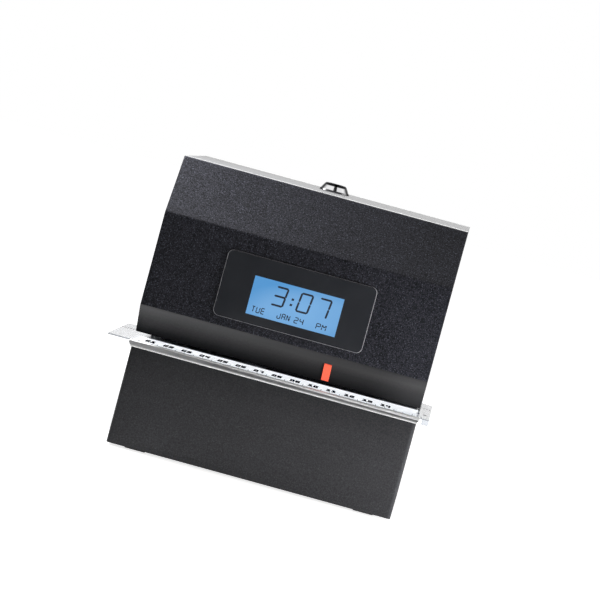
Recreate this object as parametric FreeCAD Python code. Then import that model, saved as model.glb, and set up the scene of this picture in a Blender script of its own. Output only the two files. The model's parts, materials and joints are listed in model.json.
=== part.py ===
"""Date and time stamp machine: a folded steel case with a lift-off head cover over a throat for paper.

The model is laid out with X = 0 on the case's middle, Y = 0 on the front of its middle facet and Z = 0 on
the desk. On export every piece is moved so that the centre of the whole object's footprint is the origin.
All sizes are millimetres.
"""
import FreeCAD, Part
import math
import os

V = FreeCAD.Vector

# ---- case --------------------------------------------------------
case_width = 158.0
case_depth = 169.7
foot_height = 1.5          # gap between the desk and the lower edge of the case walls
case_height = 159.0        # from that lower edge to the top of the cover
sheet = 1.2                # steel sheet of the case, deck and rear panel
flange_width = 5.5         # of the folds that the bottom plate is screwed to
bend = 2.0                 # outside radius of a fold
seat_gap = 0.3             # between the lift-off cover and what it stands over
skirt_gap = 0.5            # between the cover's cheeks and what they slide past

deck_level = 56.9          # top of the base deck
base_front_top = 11.5      # Y of the base front at the deck
base_front_foot = 14.0     # Y of the base front at its lower edge

# ---- paper table, guide and throat -------------------------------
table_sheet = 1.0
guide_sheet = 0.75
guide_lift = 0.15          # the guide slides this far above the table
paper_gap = 4.3            # clear height of the throat
throat_back = 119.5        # Y of the throat's rear wall
guide_width = 178.0
guide_centre = -3.7
guide_front = 10.0
guide_rear = 117.5
guide_right_travel = 12.0
guide_left_travel = 2.0
bar_front = 4.7
bar_depth = 5.0
bar_height = 3.5
bar_overhang = 1.25        # how far the bar stands out past each side of the case

# ---- cover facets ------------------------------------------------
head_edge_y = 15.9
middle_facet_low = 78.3
middle_facet_high = 130.0
top_edge_y = 28.0
window_width = 81.4
window_height = 35.7
window_level = 101.8       # Z of the window's centre
window_proud = 0.8
window_corner = 3.0
display_width = 49.0
display_height = 20.8
display_level = 99.2
display_offset = 0.8       # the display's centre stands this far right of the middle
window_offset = 0.2        # and the window's centre this far
mark_width = 4.0
mark_length = 13.5
mark_x = 25.8
mark_proud = 0.5
lock_y = 121.0
lock_base_radius = 8.6
lock_top_radius = 5.9
lock_height = 4.7
barrel_radius = 7.6
plug_radius = 4.5
running = 0.05             # radial play of a turning or sliding shaft
plug_length = 24.0
cam_sheet = 2.0
cam_reach = 24.0

# ---- mechanism ---------------------------------------------------
frame_inner = 70.0         # X of the side frames' inner faces
frame_sheet = 2.0
frame_front = 24.0
frame_top = 145.0
rear_flange = 12.0         # width of the frames' folded rear edges
frame_nose = 92.0          # Z where the frames' front edges begin to slope back
frame_shoulder_y = 52.0    # the frames' slope breaks here
frame_shoulder_z = 124.0
frame_crest = 98.0         # Y where the frames' top edges begin
setting_tab = 12.0         # reach of the right frame's tab under the setting board
deck_screw_ys = (78.0, 102.0)
foot_inset = 16.0          # rubber feet's centres from the front and rear walls
foot_width = 13.0          # of the square feet, where they are stuck on
plate_screw_inset = 31.0   # bottom plate screws from the same walls
screw_radius = 1.3
screw_head = 1.4           # height of a screw's head
print_y = 60.0             # Y of the print line
carriage_home = 46.0       # X of the print head at rest
carriage_travel = 46.0
carriage_half = 15.0
platform_low = 70.0
platform_top = 74.0
carriage_top = 88.0
main_rod_y = 84.0
main_rod_radius = 4.0
rear_rod_y = 106.0
rear_rod_radius = 3.0
rod_level = 80.0
bush_wall = 1.8
bush_length = 9.0
head_radius = 13.5         # half the print head's width
head_height = 23.0
nose_width = 10.0
nose_depth = 6.0
head_screw_radius = 1.0
rack_module = 0.8
rack_face = 6.0
rack_level = 90.0          # Z of the rack's pitch line
pinion_teeth = 16
wheel_module = 0.6
wheel_teeth = 40
motor_teeth = 12
pressure_angle = math.radians(25)
backlash = 0.12
mesh_play = 0.05           # added to the distance between gear centres
gear_pin_radius = 2.0
motor_radius = 17.5
motor_length = 21.0
motor_angle = math.radians(150)  # from the drive gear to the motor shaft, from +X towards +Z
motor_plate_y = 122.0
motor_plate_sheet = 1.5
motor_plate_top = 117.0
motor_plate_foot = 10.0    # depth of the folds at the plate's ends
motor_screw_levels = (74.0, 108.0)
motor_screw_inset = 6.5    # from the motor plate back to its screws
platen_length = 64.0
platen_depth = 8.0
platen_pad_height = 2.5
platen_bar_height = 3.0
platen_play = 1.0          # all round the platen in its window
plunger_radius = 4.0
solenoid_top = 50.0
solenoid_height = 28.0
spring_wire = 0.8
spring_turns = 3
trigger_x = -40.0
trigger_y = 90.0
trigger_level = 68.6       # Z of the trigger's pin
trigger_pin_radius = 1.25
trigger_thick = 3.0
cassette_front = 26.0
cassette_rear = 40.0
cassette_left = -60.0
cassette_right = 68.5
cassette_top = 86.0
arm_width = 6.0
left_arm = -22.5
ribbon_width = 8.0
ribbon_thick = 0.15
knob_x = -44.0
knob_stem = 2.0
knob_radius = 6.5
knob_height = 7.0
knob_flutes = 10
setting_level = 118.0      # Z of the setting board's underside
setting_y = 79.0
setting_xs = (30.0, 40.0, 50.0, 60.0)
button_travel = 0.8
key_radius = 3.6           # round cap of a setting button
key_stem = 1.5             # half width of its square stem
board_sheet = 1.6
board_half = 58.0          # half the main board's width
board_depth = 70.0
board_gap = 10.5           # from the main board's rear edge to the rear panel
board_level = 12.0         # Z of the main board's underside
post_radius = 2.8          # corner of the hexagonal posts
keyhole_x = 45.0
keyhole_z = 128.0
keyhole_radius = 4.5
keyhole_slot = 2.2         # half width of the keyhole's narrow part
slot_rows = 6              # air slots in the bottom plate and the rear panel
slot_pitch = 7.0
slot_width = 2.6
slot_length = 24.0
slot_inner = 22.0
bottom_slot_y = 96.0
rear_slot_z = 62.0
inlet_x = 50.0
inlet_z = 20.0
inlet_radius = 4.1

# ---- sizes that follow -------------------------------------------
half_width = case_width / 2
inner_half = half_width - sheet
top_level = foot_height + case_height
deck_under = deck_level - sheet
table_top = deck_level + table_sheet
guide_low = table_top + guide_lift
guide_top = guide_low + guide_sheet
head_edge_z = guide_top + paper_gap
head_deck_low = head_edge_z + seat_gap
head_deck_top = head_deck_low + sheet
cover_low = deck_level + seat_gap
column_y = throat_back + seat_gap
plate_low = foot_height + sheet
plate_top = plate_low + sheet
panel_y = case_depth - sheet
board_rear = panel_y - board_gap
board_front = board_rear - board_depth
panel_half = inner_half - skirt_gap + 0.1
guide_left = guide_centre - guide_width / 2
guide_right = guide_centre + guide_width / 2
pinion_pitch = rack_module * pinion_teeth / 2
wheel_pitch = wheel_module * wheel_teeth / 2
motor_pitch = wheel_module * motor_teeth / 2
gear_z = rack_level + pinion_pitch + mesh_play
gear_distance = wheel_pitch + motor_pitch + mesh_play
motor_x = gear_distance * math.cos(motor_angle)
motor_z = gear_z + gear_distance * math.sin(motor_angle)
rack_front = rear_rod_y + rear_rod_radius + 3.5
rack_rear = rack_front + rack_face
wheel_front = rack_rear + 0.6
wheel_rear = motor_plate_y - 0.7
platen_centre = carriage_home - carriage_travel / 2
platen_front = print_y - platen_depth / 2
platen_low = guide_top - 0.1 - platen_pad_height
bar_low = guide_top - bar_height
bush_radius = main_rod_radius + bush_wall
ribbon_level = head_deck_top + 0.3
nose_tip = ribbon_level + 0.3
knob_y = (cassette_front + cassette_rear) / 2
shift_x = -(guide_left + guide_right) / 2
shift_y = (window_proud - case_depth - screw_head) / 2

COVER_PATH = [
    (head_edge_y, head_edge_z),
    (0, middle_facet_low),
    (0, middle_facet_high),
    (top_edge_y, top_level),
    (case_depth, top_level),
]


# ---- drawing helpers ---------------------------------------------
def block(x0, x1, y0, y1, z0, z1):
    """Box between two corners."""
    return Part.makeBox(x1 - x0, y1 - y0, z1 - z0, V(x0, y0, z0))


def slab(side, x0, x1, y0, y1, z0, z1):
    """Box on the left (-1) or right (1), given by its distances from the middle."""
    return block(min(side * x0, side * x1), max(side * x0, side * x1), y0, y1, z0, z1)


def rod(radius, start, end):
    """Round bar from one point to another."""
    axis = end.sub(start)
    return Part.makeCylinder(radius, axis.Length, start, axis)


def group(shapes):
    """Separate solids that share one node."""
    return Part.makeCompound(shapes)


def polygon(points):
    """Closed wire through the points."""
    return Part.makePolygon(points + [points[0]])


def prism_x(points, x0, x1):
    """Outline of (y, z) points, extruded from x0 to x1."""
    wire = polygon([V(x0, y, z) for y, z in points])
    return Part.Face(wire).extrude(V(x1 - x0, 0, 0))


def prism_y(points, y0, y1):
    """Outline of (x, z) points, extruded from y0 to y1."""
    wire = polygon([V(x, y0, z) for x, z in points])
    return Part.Face(wire).extrude(V(0, y1 - y0, 0))


def fillet_where(shape, radius, test):
    """Rounds the edges whose ends and middle pass the test."""
    edges = [e for e in shape.Edges if test(e)]
    return shape.makeFillet(radius, edges)


def runs_along(edge, axis):
    """True for a straight edge that runs along the unit vector."""
    if len(edge.Vertexes) < 2:
        return False
    d = edge.Vertexes[1].Point.sub(edge.Vertexes[0].Point)
    return d.Length > 1e-6 and abs(abs(d.dot(axis)) / d.Length - 1) < 1e-6


def rounded_block(x0, x1, y0, y1, z0, z1, radius, axis):
    """Box with its four edges along the axis rounded."""
    return fillet_where(block(x0, x1, y0, y1, z0, z1), radius, lambda e: runs_along(e, axis))


def offset_path(points, distance):
    """Open path of (y, z) points moved sideways, towards the inside of the case, with mitred corners."""
    normals = []
    for (y0, z0), (y1, z1) in zip(points, points[1:]):
        length = math.hypot(y1 - y0, z1 - z0)
        normals.append(((z1 - z0) / length, -(y1 - y0) / length))
    moved = []
    for i, (y, z) in enumerate(points):
        before = normals[max(i - 1, 0)]
        after = normals[min(i, len(normals) - 1)]
        scale = distance / (1 + before[0] * after[0] + before[1] * after[1])
        moved.append((y + scale * (before[0] + after[0]), z + scale * (before[1] + after[1])))
    return moved


def bent_edges(points, radius, x=0.0):
    """Edges of an open (y, z) path whose inner corners are arcs of the radius."""
    knots = [V(x, y, z) for y, z in points]
    edges = []
    start = knots[0]
    for before, corner, after in zip(knots, knots[1:], knots[2:]):
        a = before.sub(corner).normalize()
        b = after.sub(corner).normalize()
        half = math.acos(max(-1.0, min(1.0, a.dot(b)))) / 2
        reach = radius / math.tan(half)
        middle = a.add(b).normalize().multiply(radius / math.sin(half) - radius)
        first = corner.add(a.multiply(reach))
        last = corner.add(b.multiply(reach))
        edges.append(Part.LineSegment(start, first).toShape())
        edges.append(Part.Arc(first, corner.add(middle), last).toShape())
        start = last
    edges.append(Part.LineSegment(start, knots[-1]).toShape())
    return edges


def chain(points, x=0.0):
    """Straight edges through (y, z) points."""
    knots = [V(x, y, z) for y, z in points]
    return [Part.LineSegment(a, b).toShape() for a, b in zip(knots, knots[1:])]


def extruded(edges, x0, x1):
    """Closed outline of edges at X = 0, extruded from x0 to x1."""
    wire = Part.Wire(Part.__sortEdges__(edges))
    face = Part.Face(wire)
    face.translate(V(x0, 0, 0))
    return face.extrude(V(x1 - x0, 0, 0))


def hexagon(radius, point, axis, height):
    """Six-sided prism that stands on the point."""
    outline = [V(radius * math.cos(math.pi / 3 * i), radius * math.sin(math.pi / 3 * i), 0) for i in range(6)]
    prism = Part.Face(polygon(outline)).extrude(V(0, 0, height))
    prism.Placement = FreeCAD.Placement(point, FreeCAD.Rotation(V(0, 0, 1), axis))
    return prism


def hex_screw(radius, point, axis, length):
    """Screw whose six-sided head sits on the point, its shank running against the axis."""
    head = hexagon(1.8 * radius, point, axis, screw_head)
    shank = Part.makeCylinder(radius, length, point.sub(V(axis).multiply(length)), axis)
    return head.fuse(shank)


def gear_points(module, teeth, phase):
    """Points round a spur gear with involute flanks, a tooth's middle at the phase angle."""
    pitch = module * teeth / 2
    base = pitch * math.cos(pressure_angle)
    tip = pitch + module
    root = pitch - 1.25 * module
    involute = math.tan(pressure_angle) - pressure_angle
    half_tooth = (math.pi * module / 2 - backlash) / 2 / pitch
    flank = [max(base, root), pitch, tip]

    def angle_at(radius):
        spread = math.acos(min(1.0, base / radius))
        return half_tooth + involute - (math.tan(spread) - spread)

    points = []
    for i in range(teeth):
        middle = phase + 2 * math.pi * i / teeth
        points.append((root, middle - angle_at(flank[0])))
        points += [(r, middle - angle_at(r)) for r in flank if r > root]
        points += [(r, middle + angle_at(r)) for r in reversed(flank) if r > root]
        points.append((root, middle + angle_at(flank[0])))
    return [(r * math.cos(a), r * math.sin(a)) for r, a in points]


def spur_gear(module, teeth, phase, x, z, y0, y1):
    """Spur gear whose axis runs along Y."""
    outline = [(x + a, z + b) for a, b in gear_points(module, teeth, phase)]
    return prism_y(outline, y0, y1)


# ---- base --------------------------------------------------------
def base_shell():
    """Folded front, sides and deck; open behind the throat, where the frames pass up."""
    outer = prism_x([(base_front_foot, foot_height), (base_front_top, deck_level),
                     (case_depth, deck_level), (case_depth, foot_height)], -half_width, half_width)
    outer = fillet_where(outer, bend, lambda e: e.BoundBox.YMax < base_front_foot + 1
                         and not runs_along(e, V(1, 0, 0)))
    outer = fillet_where(outer, sheet, lambda e: e.BoundBox.ZMin > deck_level - 1e-3
                         and e.BoundBox.YMax < throat_back)
    slope = (base_front_foot - base_front_top) / (deck_level - foot_height)
    foot_y = base_front_foot + sheet + slope
    lean = slope * (deck_under - foot_height + 1)
    inner = prism_x([(foot_y, foot_height - 1), (foot_y - lean, deck_under), (case_depth + 1, deck_under),
                     (case_depth + 1, foot_height - 1)], -inner_half, inner_half)
    rear_opening = block(-inner_half, inner_half, throat_back + sheet, case_depth + 1,
                         foot_height, deck_level + 1)
    shell = outer.cut(inner).cut(rear_opening).cut(platen_window(deck_under, deck_level))
    throat_wall = block(-panel_half, panel_half, throat_back, throat_back + sheet,
                        deck_under, head_deck_low - 0.5)
    flanges = [slab(side, inner_half - flange_width, inner_half, base_front_foot + 3 * sheet, panel_y - sheet,
                    plate_top, plate_top + sheet) for side in (-1, 1)]
    shell = shell.fuse([throat_wall] + flanges)
    for x, y in case_screw_places():
        shell = shell.cut(rod(screw_radius, V(x, y, plate_low), V(x, y, plate_top + 2 * sheet)))
    return shell.removeSplitter()


def platen_window(low, high):
    """Slot in the deck and table that the platen rises through."""
    half = platen_length / 2 + platen_play
    return block(platen_centre - half, platen_centre + half, platen_front - platen_play,
                 platen_front + platen_depth + platen_play, low - 1, high + 1)


def case_screw_places():
    """Bottom plate screws, near the corners."""
    return [(side * (inner_half - flange_width / 2), y) for side in (-1, 1)
            for y in (base_front_foot + plate_screw_inset, case_depth - plate_screw_inset)]


def foot_places():
    """Rubber feet, nearer the corners than the screws."""
    return [(side * (inner_half - 14), y) for side in (-1, 1)
            for y in (base_front_foot + foot_inset, case_depth - foot_inset)]


def bottom_plate():
    """Flat plate with two rows of air slots."""
    front = base_front_foot + sheet + seat_gap
    plate = rounded_block(-inner_half + seat_gap, inner_half - seat_gap, front, panel_y - seat_gap,
                          plate_low, plate_top, 3.0, V(0, 0, 1))
    for x, y in case_screw_places():
        plate = plate.cut(rod(screw_radius, V(x, y, plate_low - 1), V(x, y, plate_top + 1)))
    for side in (-1, 1):
        for i in range(slot_rows):
            y = bottom_slot_y + slot_pitch * i
            plate = plate.cut(slab(side, slot_inner, slot_inner + slot_length, y, y + slot_width,
                                   plate_low - 1, plate_top + 1))
    return plate


def rubber_feet():
    """Four square tapered pads stuck under the bottom plate."""
    pads = []
    for x, y in foot_places():
        sole = rectangle(x, y, 0, foot_width - 2, foot_width - 2)
        pads.append(Part.makeLoft([sole, rectangle(x, y, plate_low, foot_width, foot_width)], True, True))
    return group(pads)


def case_screws():
    """Bottom plate screws and rear panel screws."""
    bottom = [hex_screw(screw_radius, V(x, y, plate_low), V(0, 0, -1), 2 * sheet + 0.6)
              for x, y in case_screw_places()]
    rear = [hex_screw(screw_radius, V(x, case_depth, z), V(0, 1, 0), 2 * sheet + 0.6)
            for x, z in rear_screw_places()]
    return group(bottom + rear)


def rear_screw_places():
    """Screws through the rear panel into the frames' rear flanges."""
    return [(side * (frame_inner - rear_flange / 2), z) for side in (-1, 1) for z in (30.0, 138.0)]


def rear_panel():
    """Full-height back of the case, with keyholes, air slots and the inlet's hole."""
    low = plate_top + seat_gap
    high = top_level - sheet - seat_gap
    panel = rounded_block(-panel_half, panel_half, panel_y, case_depth, low, high, 2.0, V(0, 1, 0))
    for side in (-1, 1):
        x = side * keyhole_x
        eye = rod(keyhole_radius, V(x, panel_y - 1, keyhole_z), V(x, case_depth + 1, keyhole_z))
        neck_top = keyhole_z + keyhole_radius + 5.0
        neck = block(x - keyhole_slot, x + keyhole_slot, panel_y - 1, case_depth + 1, keyhole_z, neck_top)
        crown = rod(keyhole_slot, V(x, panel_y - 1, neck_top), V(x, case_depth + 1, neck_top))
        panel = panel.cut(eye.fuse([neck, crown]))
    for i in range(slot_rows):
        z = rear_slot_z + slot_pitch * i
        panel = panel.cut(block(-slot_length, slot_length, panel_y - 1, case_depth + 1, z, z + slot_width))
    holes = [(screw_radius, x, z) for x, z in rear_screw_places()]
    for radius, x, z in holes + [(inlet_radius, inlet_x, inlet_z)]:
        panel = panel.cut(rod(radius, V(x, panel_y - 1, z), V(x, case_depth + 1, z)))
    return panel


def power_inlet():
    """Panel socket: barrel, collar behind the panel and a centre pin in its bore."""
    depth = 9.0
    barrel = rod(inlet_radius, V(inlet_x, panel_y - depth, inlet_z), V(inlet_x, case_depth, inlet_z))
    collar = rod(inlet_radius + 2.0, V(inlet_x, panel_y - 3.0, inlet_z), V(inlet_x, panel_y, inlet_z))
    bore = rod(2.75, V(inlet_x, panel_y - depth + 1.5, inlet_z), V(inlet_x, case_depth + 1, inlet_z))
    pin = rod(1.0, V(inlet_x, panel_y - depth + 1.0, inlet_z), V(inlet_x, case_depth - 0.8, inlet_z))
    return barrel.fuse(collar).cut(bore).fuse(pin).removeSplitter()


# ---- paper table and guide ---------------------------------------
def front_bar():
    """Bright bar that grips the table's front edge, with a bead along its foot."""
    half = half_width + bar_overhang
    bead = 0.55
    body = block(-half, half, bar_front, bar_front + bar_depth, bar_low + bead, guide_top)
    body = fillet_where(body, 2.2, lambda e: runs_along(e, V(0, 1, 0)) and e.BoundBox.ZMax < bar_low + 1)
    body = fillet_where(body, 0.6, lambda e: runs_along(e, V(1, 0, 0)) and e.BoundBox.YMax < bar_front + 0.1
                        and e.BoundBox.ZMin > guide_top - 0.1)
    edge = rod(bead, V(-half_width, bar_front + bead, bar_low + bead),
               V(half_width, bar_front + bead, bar_low + bead))
    grip = block(-half, half, bar_front + 2.0, bar_front + bar_depth + 1, deck_level, table_top)
    foot = block(-half, half, bar_front + 2 * bead, base_front_top + 1, bar_low - 1, deck_level)
    return body.fuse(edge).cut(grip).cut(foot).removeSplitter()


def rivet_places():
    """Rivets that the guide's slots run on."""
    return [(side * 55.0, guide_rear - 5.5) for side in (-1, 1)]


def paper_table():
    """Bright plate on the base deck, its front edge held by the bar."""
    plate = block(-half_width, half_width, bar_front + 2.0, throat_back, deck_level, table_top)
    plate = plate.cut(platen_window(deck_level, table_top))
    for x, y in rivet_places():
        plate = plate.cut(rod(2.0, V(x, y, deck_level - 1), V(x, y, table_top + 1)))
    return plate


def guide_rivets():
    """Shouldered rivets with wide flat heads over the guide."""
    rivets = []
    for x, y in rivet_places():
        shank = rod(2.0, V(x, y, deck_level), V(x, y, guide_top + guide_lift))
        head = rod(4.0, V(x, y, guide_top + guide_lift), V(x, y, guide_top + guide_lift + 0.9))
        rivets.append(shank.fuse(head).removeSplitter())
    return group(rivets)


def paper_guide():
    """Clear ruled plate that slides sideways, with slots, a platen window and a finger tab."""
    plate = block(guide_left, guide_right, guide_front, guide_rear, guide_low, guide_top)
    plate = fillet_where(plate, 5.0, lambda e: runs_along(e, V(0, 0, 1)) and e.BoundBox.YMin > guide_rear - 1)
    half = platen_length / 2 + platen_play
    side_play = 1.5 * platen_play
    window = rounded_block(platen_centre - half - guide_right_travel,
                           platen_centre + half + guide_left_travel,
                           platen_front - side_play, platen_front + platen_depth + side_play,
                           guide_low - 1, guide_top + 1, 2.0, V(0, 0, 1))
    plate = plate.cut(window)
    slot_radius = 2.3
    for x, y in rivet_places():
        slot = rounded_block(x - guide_right_travel - slot_radius, x + guide_left_travel + slot_radius,
                             y - slot_radius, y + slot_radius, guide_low - 1, guide_top + 1,
                             slot_radius - 0.01, V(0, 0, 1))
        plate = plate.cut(slot)
    tab_width = 3.8
    tab = block(guide_right - tab_width, guide_right, guide_front, guide_front + 1.0,
                bar_low, guide_low + 0.1)
    return plate.fuse(tab).removeSplitter()


def platen_pad():
    """Hard rubber strip that backs the paper at the print line."""
    x0 = platen_centre - platen_length / 2
    high = platen_low + platen_pad_height
    pad = block(x0, x0 + platen_length, platen_front, platen_front + platen_depth, platen_low, high)
    return fillet_where(pad, 0.6, lambda e: e.BoundBox.ZMin > high - 0.1)


def platen_bar():
    """Steel channel that carries the pad."""
    x0 = platen_centre - platen_length / 2
    top = platen_low
    low = top - platen_bar_height
    bar = block(x0, x0 + platen_length, platen_front, platen_front + platen_depth, low, top)
    for side in (-1, 1):
        middle = platen_centre + side * platen_length / 4
        pocket = block(middle - 10, middle + 10, platen_front + 1.5, platen_front + platen_depth - 1.5,
                       low - 1, top - 1.2)
        bar = bar.cut(pocket)
    return bar


def lift_plunger():
    """Iron plunger that pushes the bar up, with a collar under the return spring."""
    top = platen_low - platen_bar_height
    collar_low = solenoid_top - solenoid_height - 9.5
    stem = rod(plunger_radius, V(platen_centre, print_y, collar_low), V(platen_centre, print_y, top))
    collar = rod(plunger_radius + 2.5, V(platen_centre, print_y, collar_low),
                 V(platen_centre, print_y, collar_low + 1.5))
    return stem.fuse(collar).removeSplitter()


def platen_spring():
    """Coil that pushes the plunger's collar down."""
    low = solenoid_top - solenoid_height - 8.0 + spring_wire / 2
    high = solenoid_top - solenoid_height - spring_wire / 2 - 0.05
    radius = plunger_radius + 1.4
    turn = (high - low) / spring_turns
    helix = Part.makeHelix(turn, high - low, radius)
    half = spring_wire / 2
    section = polygon([V(radius + half, 0, 0), V(radius, 0, half),
                       V(radius - half, 0, 0), V(radius, 0, -half)])
    coil = Part.Wire(helix.Edges).makePipeShell([section], True, True)
    coil.translate(V(platen_centre, print_y, low))
    return coil


def lift_solenoid():
    """Coil in an open steel frame that hangs under the deck."""
    low = solenoid_top - solenoid_height
    half_x = 12.0
    half_y = 10.5
    wall = 1.5
    coil = rounded_block(platen_centre - half_x + 1, platen_centre + half_x - 1, print_y - half_y,
                         print_y + half_y, low + 2, solenoid_top - 2, 4.0, V(0, 0, 1))
    ends = [block(platen_centre - half_x, platen_centre + half_x, print_y - half_y - wall,
                  print_y + half_y + wall, z, z + 2) for z in (low, solenoid_top - 2)]
    sides = []
    for side in (-1, 1):
        y = print_y + side * (half_y + wall / 2)
        sides.append(block(platen_centre - 8, platen_centre + 8, y - wall / 2, y + wall / 2, low, deck_under))
        foot = y + side * 4.0
        sides.append(block(platen_centre - 8, platen_centre + 8, min(y, foot) - wall / 2,
                           max(y, foot) + wall / 2, deck_under - wall, deck_under))
    solenoid = coil.fuse(ends + sides)
    bore = rod(plunger_radius + running, V(platen_centre, print_y, low - 1),
               V(platen_centre, print_y, deck_under))
    return solenoid.cut(bore).removeSplitter()


# ---- frames and head deck ----------------------------------------
def side_frame(side):
    """C-shaped plate round the throat, with a rear flange; the right one also has a tab for the board."""
    outline = [(frame_front, plate_top), (panel_y - sheet, plate_top), (panel_y - sheet, frame_top),
               (frame_crest, frame_top), (frame_shoulder_y, frame_shoulder_z),
               (frame_front, frame_nose), (frame_front, head_deck_top),
               (motor_plate_y, head_deck_top), (motor_plate_y, deck_under), (frame_front, deck_under)]
    x0 = side * frame_inner
    x1 = side * (frame_inner + frame_sheet)
    plate = prism_x(outline, min(x0, x1), max(x0, x1))
    plate = fillet_where(plate, 4.0, lambda e: runs_along(e, V(1, 0, 0))
                         and e.BoundBox.ZMin > frame_nose - 1 and e.BoundBox.YMax < frame_crest + 1)
    plate = plate.fuse(slab(side, frame_inner - rear_flange, frame_inner + frame_sheet,
                            panel_y - sheet, panel_y, plate_top + 6, frame_top))
    for y, radius in ((main_rod_y, main_rod_radius), (rear_rod_y, rear_rod_radius)):
        plate = plate.cut(rod(radius, V(side * (frame_inner - 5), y, rod_level),
                              V(side * (frame_inner + 5), y, rod_level)))
    for x, z in rear_screw_places():
        if x * side > 0:
            plate = plate.cut(rod(screw_radius, V(x, panel_y - 3, z), V(x, panel_y + 1, z)))
    if side > 0:
        plate = plate.fuse(block(frame_inner - setting_tab, frame_inner + 0.5, setting_y - 14,
                                 setting_y + 14, setting_level - frame_sheet, setting_level))
    return plate.removeSplitter()


def head_deck():
    """Floor of the head: side flanges, the print window and the trigger's slot."""
    plate = block(-panel_half, panel_half, cassette_front - 1, throat_back, head_deck_low, head_deck_top)
    flanges = [slab(side, frame_inner - sheet, frame_inner, y - 5, y + 5, head_deck_low, head_deck_top + 7)
               for side in (-1, 1) for y in deck_screw_ys]
    window = rounded_block(carriage_home - carriage_travel - nose_width / 2 - 6,
                           carriage_home + nose_width / 2 + 6,
                           print_y - nose_depth, print_y + nose_depth, head_deck_low - 1, head_deck_top + 1,
                           2.0, V(0, 0, 1))
    slot = block(trigger_x - trigger_thick / 2 - 0.8, trigger_x + trigger_thick / 2 + 0.8,
                 trigger_y - 4, trigger_y + 11, head_deck_low - 1, head_deck_top + 1)
    return plate.fuse(flanges).cut(window).cut(slot).removeSplitter()


def slot_lamp():
    """Lamp board on the head deck's front edge, with diodes that face down into the throat."""
    rear = cassette_front - 1
    board = block(-66, 66, rear - 6.4, rear, head_deck_low + 0.7, head_deck_top)
    diodes = [block(-60 + 15 * i - 1.5, -60 + 15 * i + 1.5, rear - 4.6, rear - 1.8,
                    head_deck_low, head_deck_low + 0.7) for i in range(9)]
    return board.fuse(diodes).removeSplitter()


def guide_rods():
    """Ground rods across the frames."""
    reach = frame_inner + frame_sheet
    rods = []
    for y, radius in ((main_rod_y, main_rod_radius), (rear_rod_y, rear_rod_radius)):
        rods.append(rod(radius, V(-reach, y, rod_level), V(reach, y, rod_level)))
    return group(rods)


def motor_plate():
    """Cross plate between the frames that carries the motor and the gear pin."""
    y0 = motor_plate_y
    y1 = y0 + motor_plate_sheet
    plate = block(-frame_inner, frame_inner, y0, y1, head_deck_top, motor_plate_top)
    feet = [slab(side, frame_inner - motor_plate_sheet, frame_inner, y0, y0 + motor_plate_foot,
                 head_deck_top, motor_plate_top) for side in (-1, 1)]
    plate = plate.fuse(feet)
    plate = plate.cut(rod(5.0, V(motor_x, y0 - 1, motor_z), V(motor_x, y1 + 1, motor_z)))
    plate = plate.cut(rod(1.4, V(0, y0 - 1, gear_z), V(0, y1 + 1, gear_z)))
    return plate.removeSplitter()


def carriage_motor():
    """Flat round stepper motor with a two-eared flange and a pilot."""
    y0 = motor_plate_y + motor_plate_sheet
    can = rod(motor_radius, V(motor_x, y0, motor_z), V(motor_x, y0 + motor_length, motor_z))
    ear = rounded_block(motor_x - 24, motor_x + 24, y0, y0 + 1.0, motor_z - 4, motor_z + 4, 3.5, V(0, 1, 0))
    pilot = rod(5.0, V(motor_x, motor_plate_y, motor_z), V(motor_x, y0, motor_z))
    bearing = rod(1.0 + running, V(motor_x, motor_plate_y - 1, motor_z), V(motor_x, y0 + 8, motor_z))
    plug = block(motor_x - 6, motor_x + 6, y0 + 6, y0 + 15,
                 motor_z - motor_radius - 3, motor_z - motor_radius + 2)
    return can.fuse([ear, pilot, plug]).cut(bearing).removeSplitter()


def motor_pinion():
    """Brass pinion on the motor's shaft."""
    gap = math.pi + motor_angle
    gear = spur_gear(wheel_module, motor_teeth, gap + math.pi / motor_teeth, motor_x, motor_z,
                     wheel_front - 0.4, wheel_rear)
    shaft = rod(1.0, V(motor_x, wheel_front - 1.5, motor_z),
                V(motor_x, motor_plate_y + motor_plate_sheet + 7, motor_z))
    return gear.fuse(shaft).removeSplitter()


def drive_gear():
    """Wheel and pinion in one moulding: the pinion drives the rack."""
    wheel = spur_gear(wheel_module, wheel_teeth, motor_angle, 0, gear_z, wheel_front, wheel_rear)
    pinion = spur_gear(rack_module, pinion_teeth, -math.pi / 2, 0, gear_z, rack_front + 0.2, wheel_front)
    gear = wheel.fuse(pinion)
    bore = rod(gear_pin_radius + running, V(0, rack_front - 1, gear_z), V(0, wheel_rear + 1, gear_z))
    return gear.cut(bore).removeSplitter()


def gear_pin():
    """Headed pin riveted in the motor plate."""
    head = rod(gear_pin_radius + 1.2, V(0, rack_front - 1.3, gear_z), V(0, rack_front - 0.2, gear_z))
    stem = rod(gear_pin_radius, V(0, rack_front - 0.2, gear_z), V(0, motor_plate_y, gear_z))
    tail = rod(1.4, V(0, motor_plate_y, gear_z), V(0, motor_plate_y + motor_plate_sheet, gear_z))
    return head.fuse([stem, tail]).removeSplitter()


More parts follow.
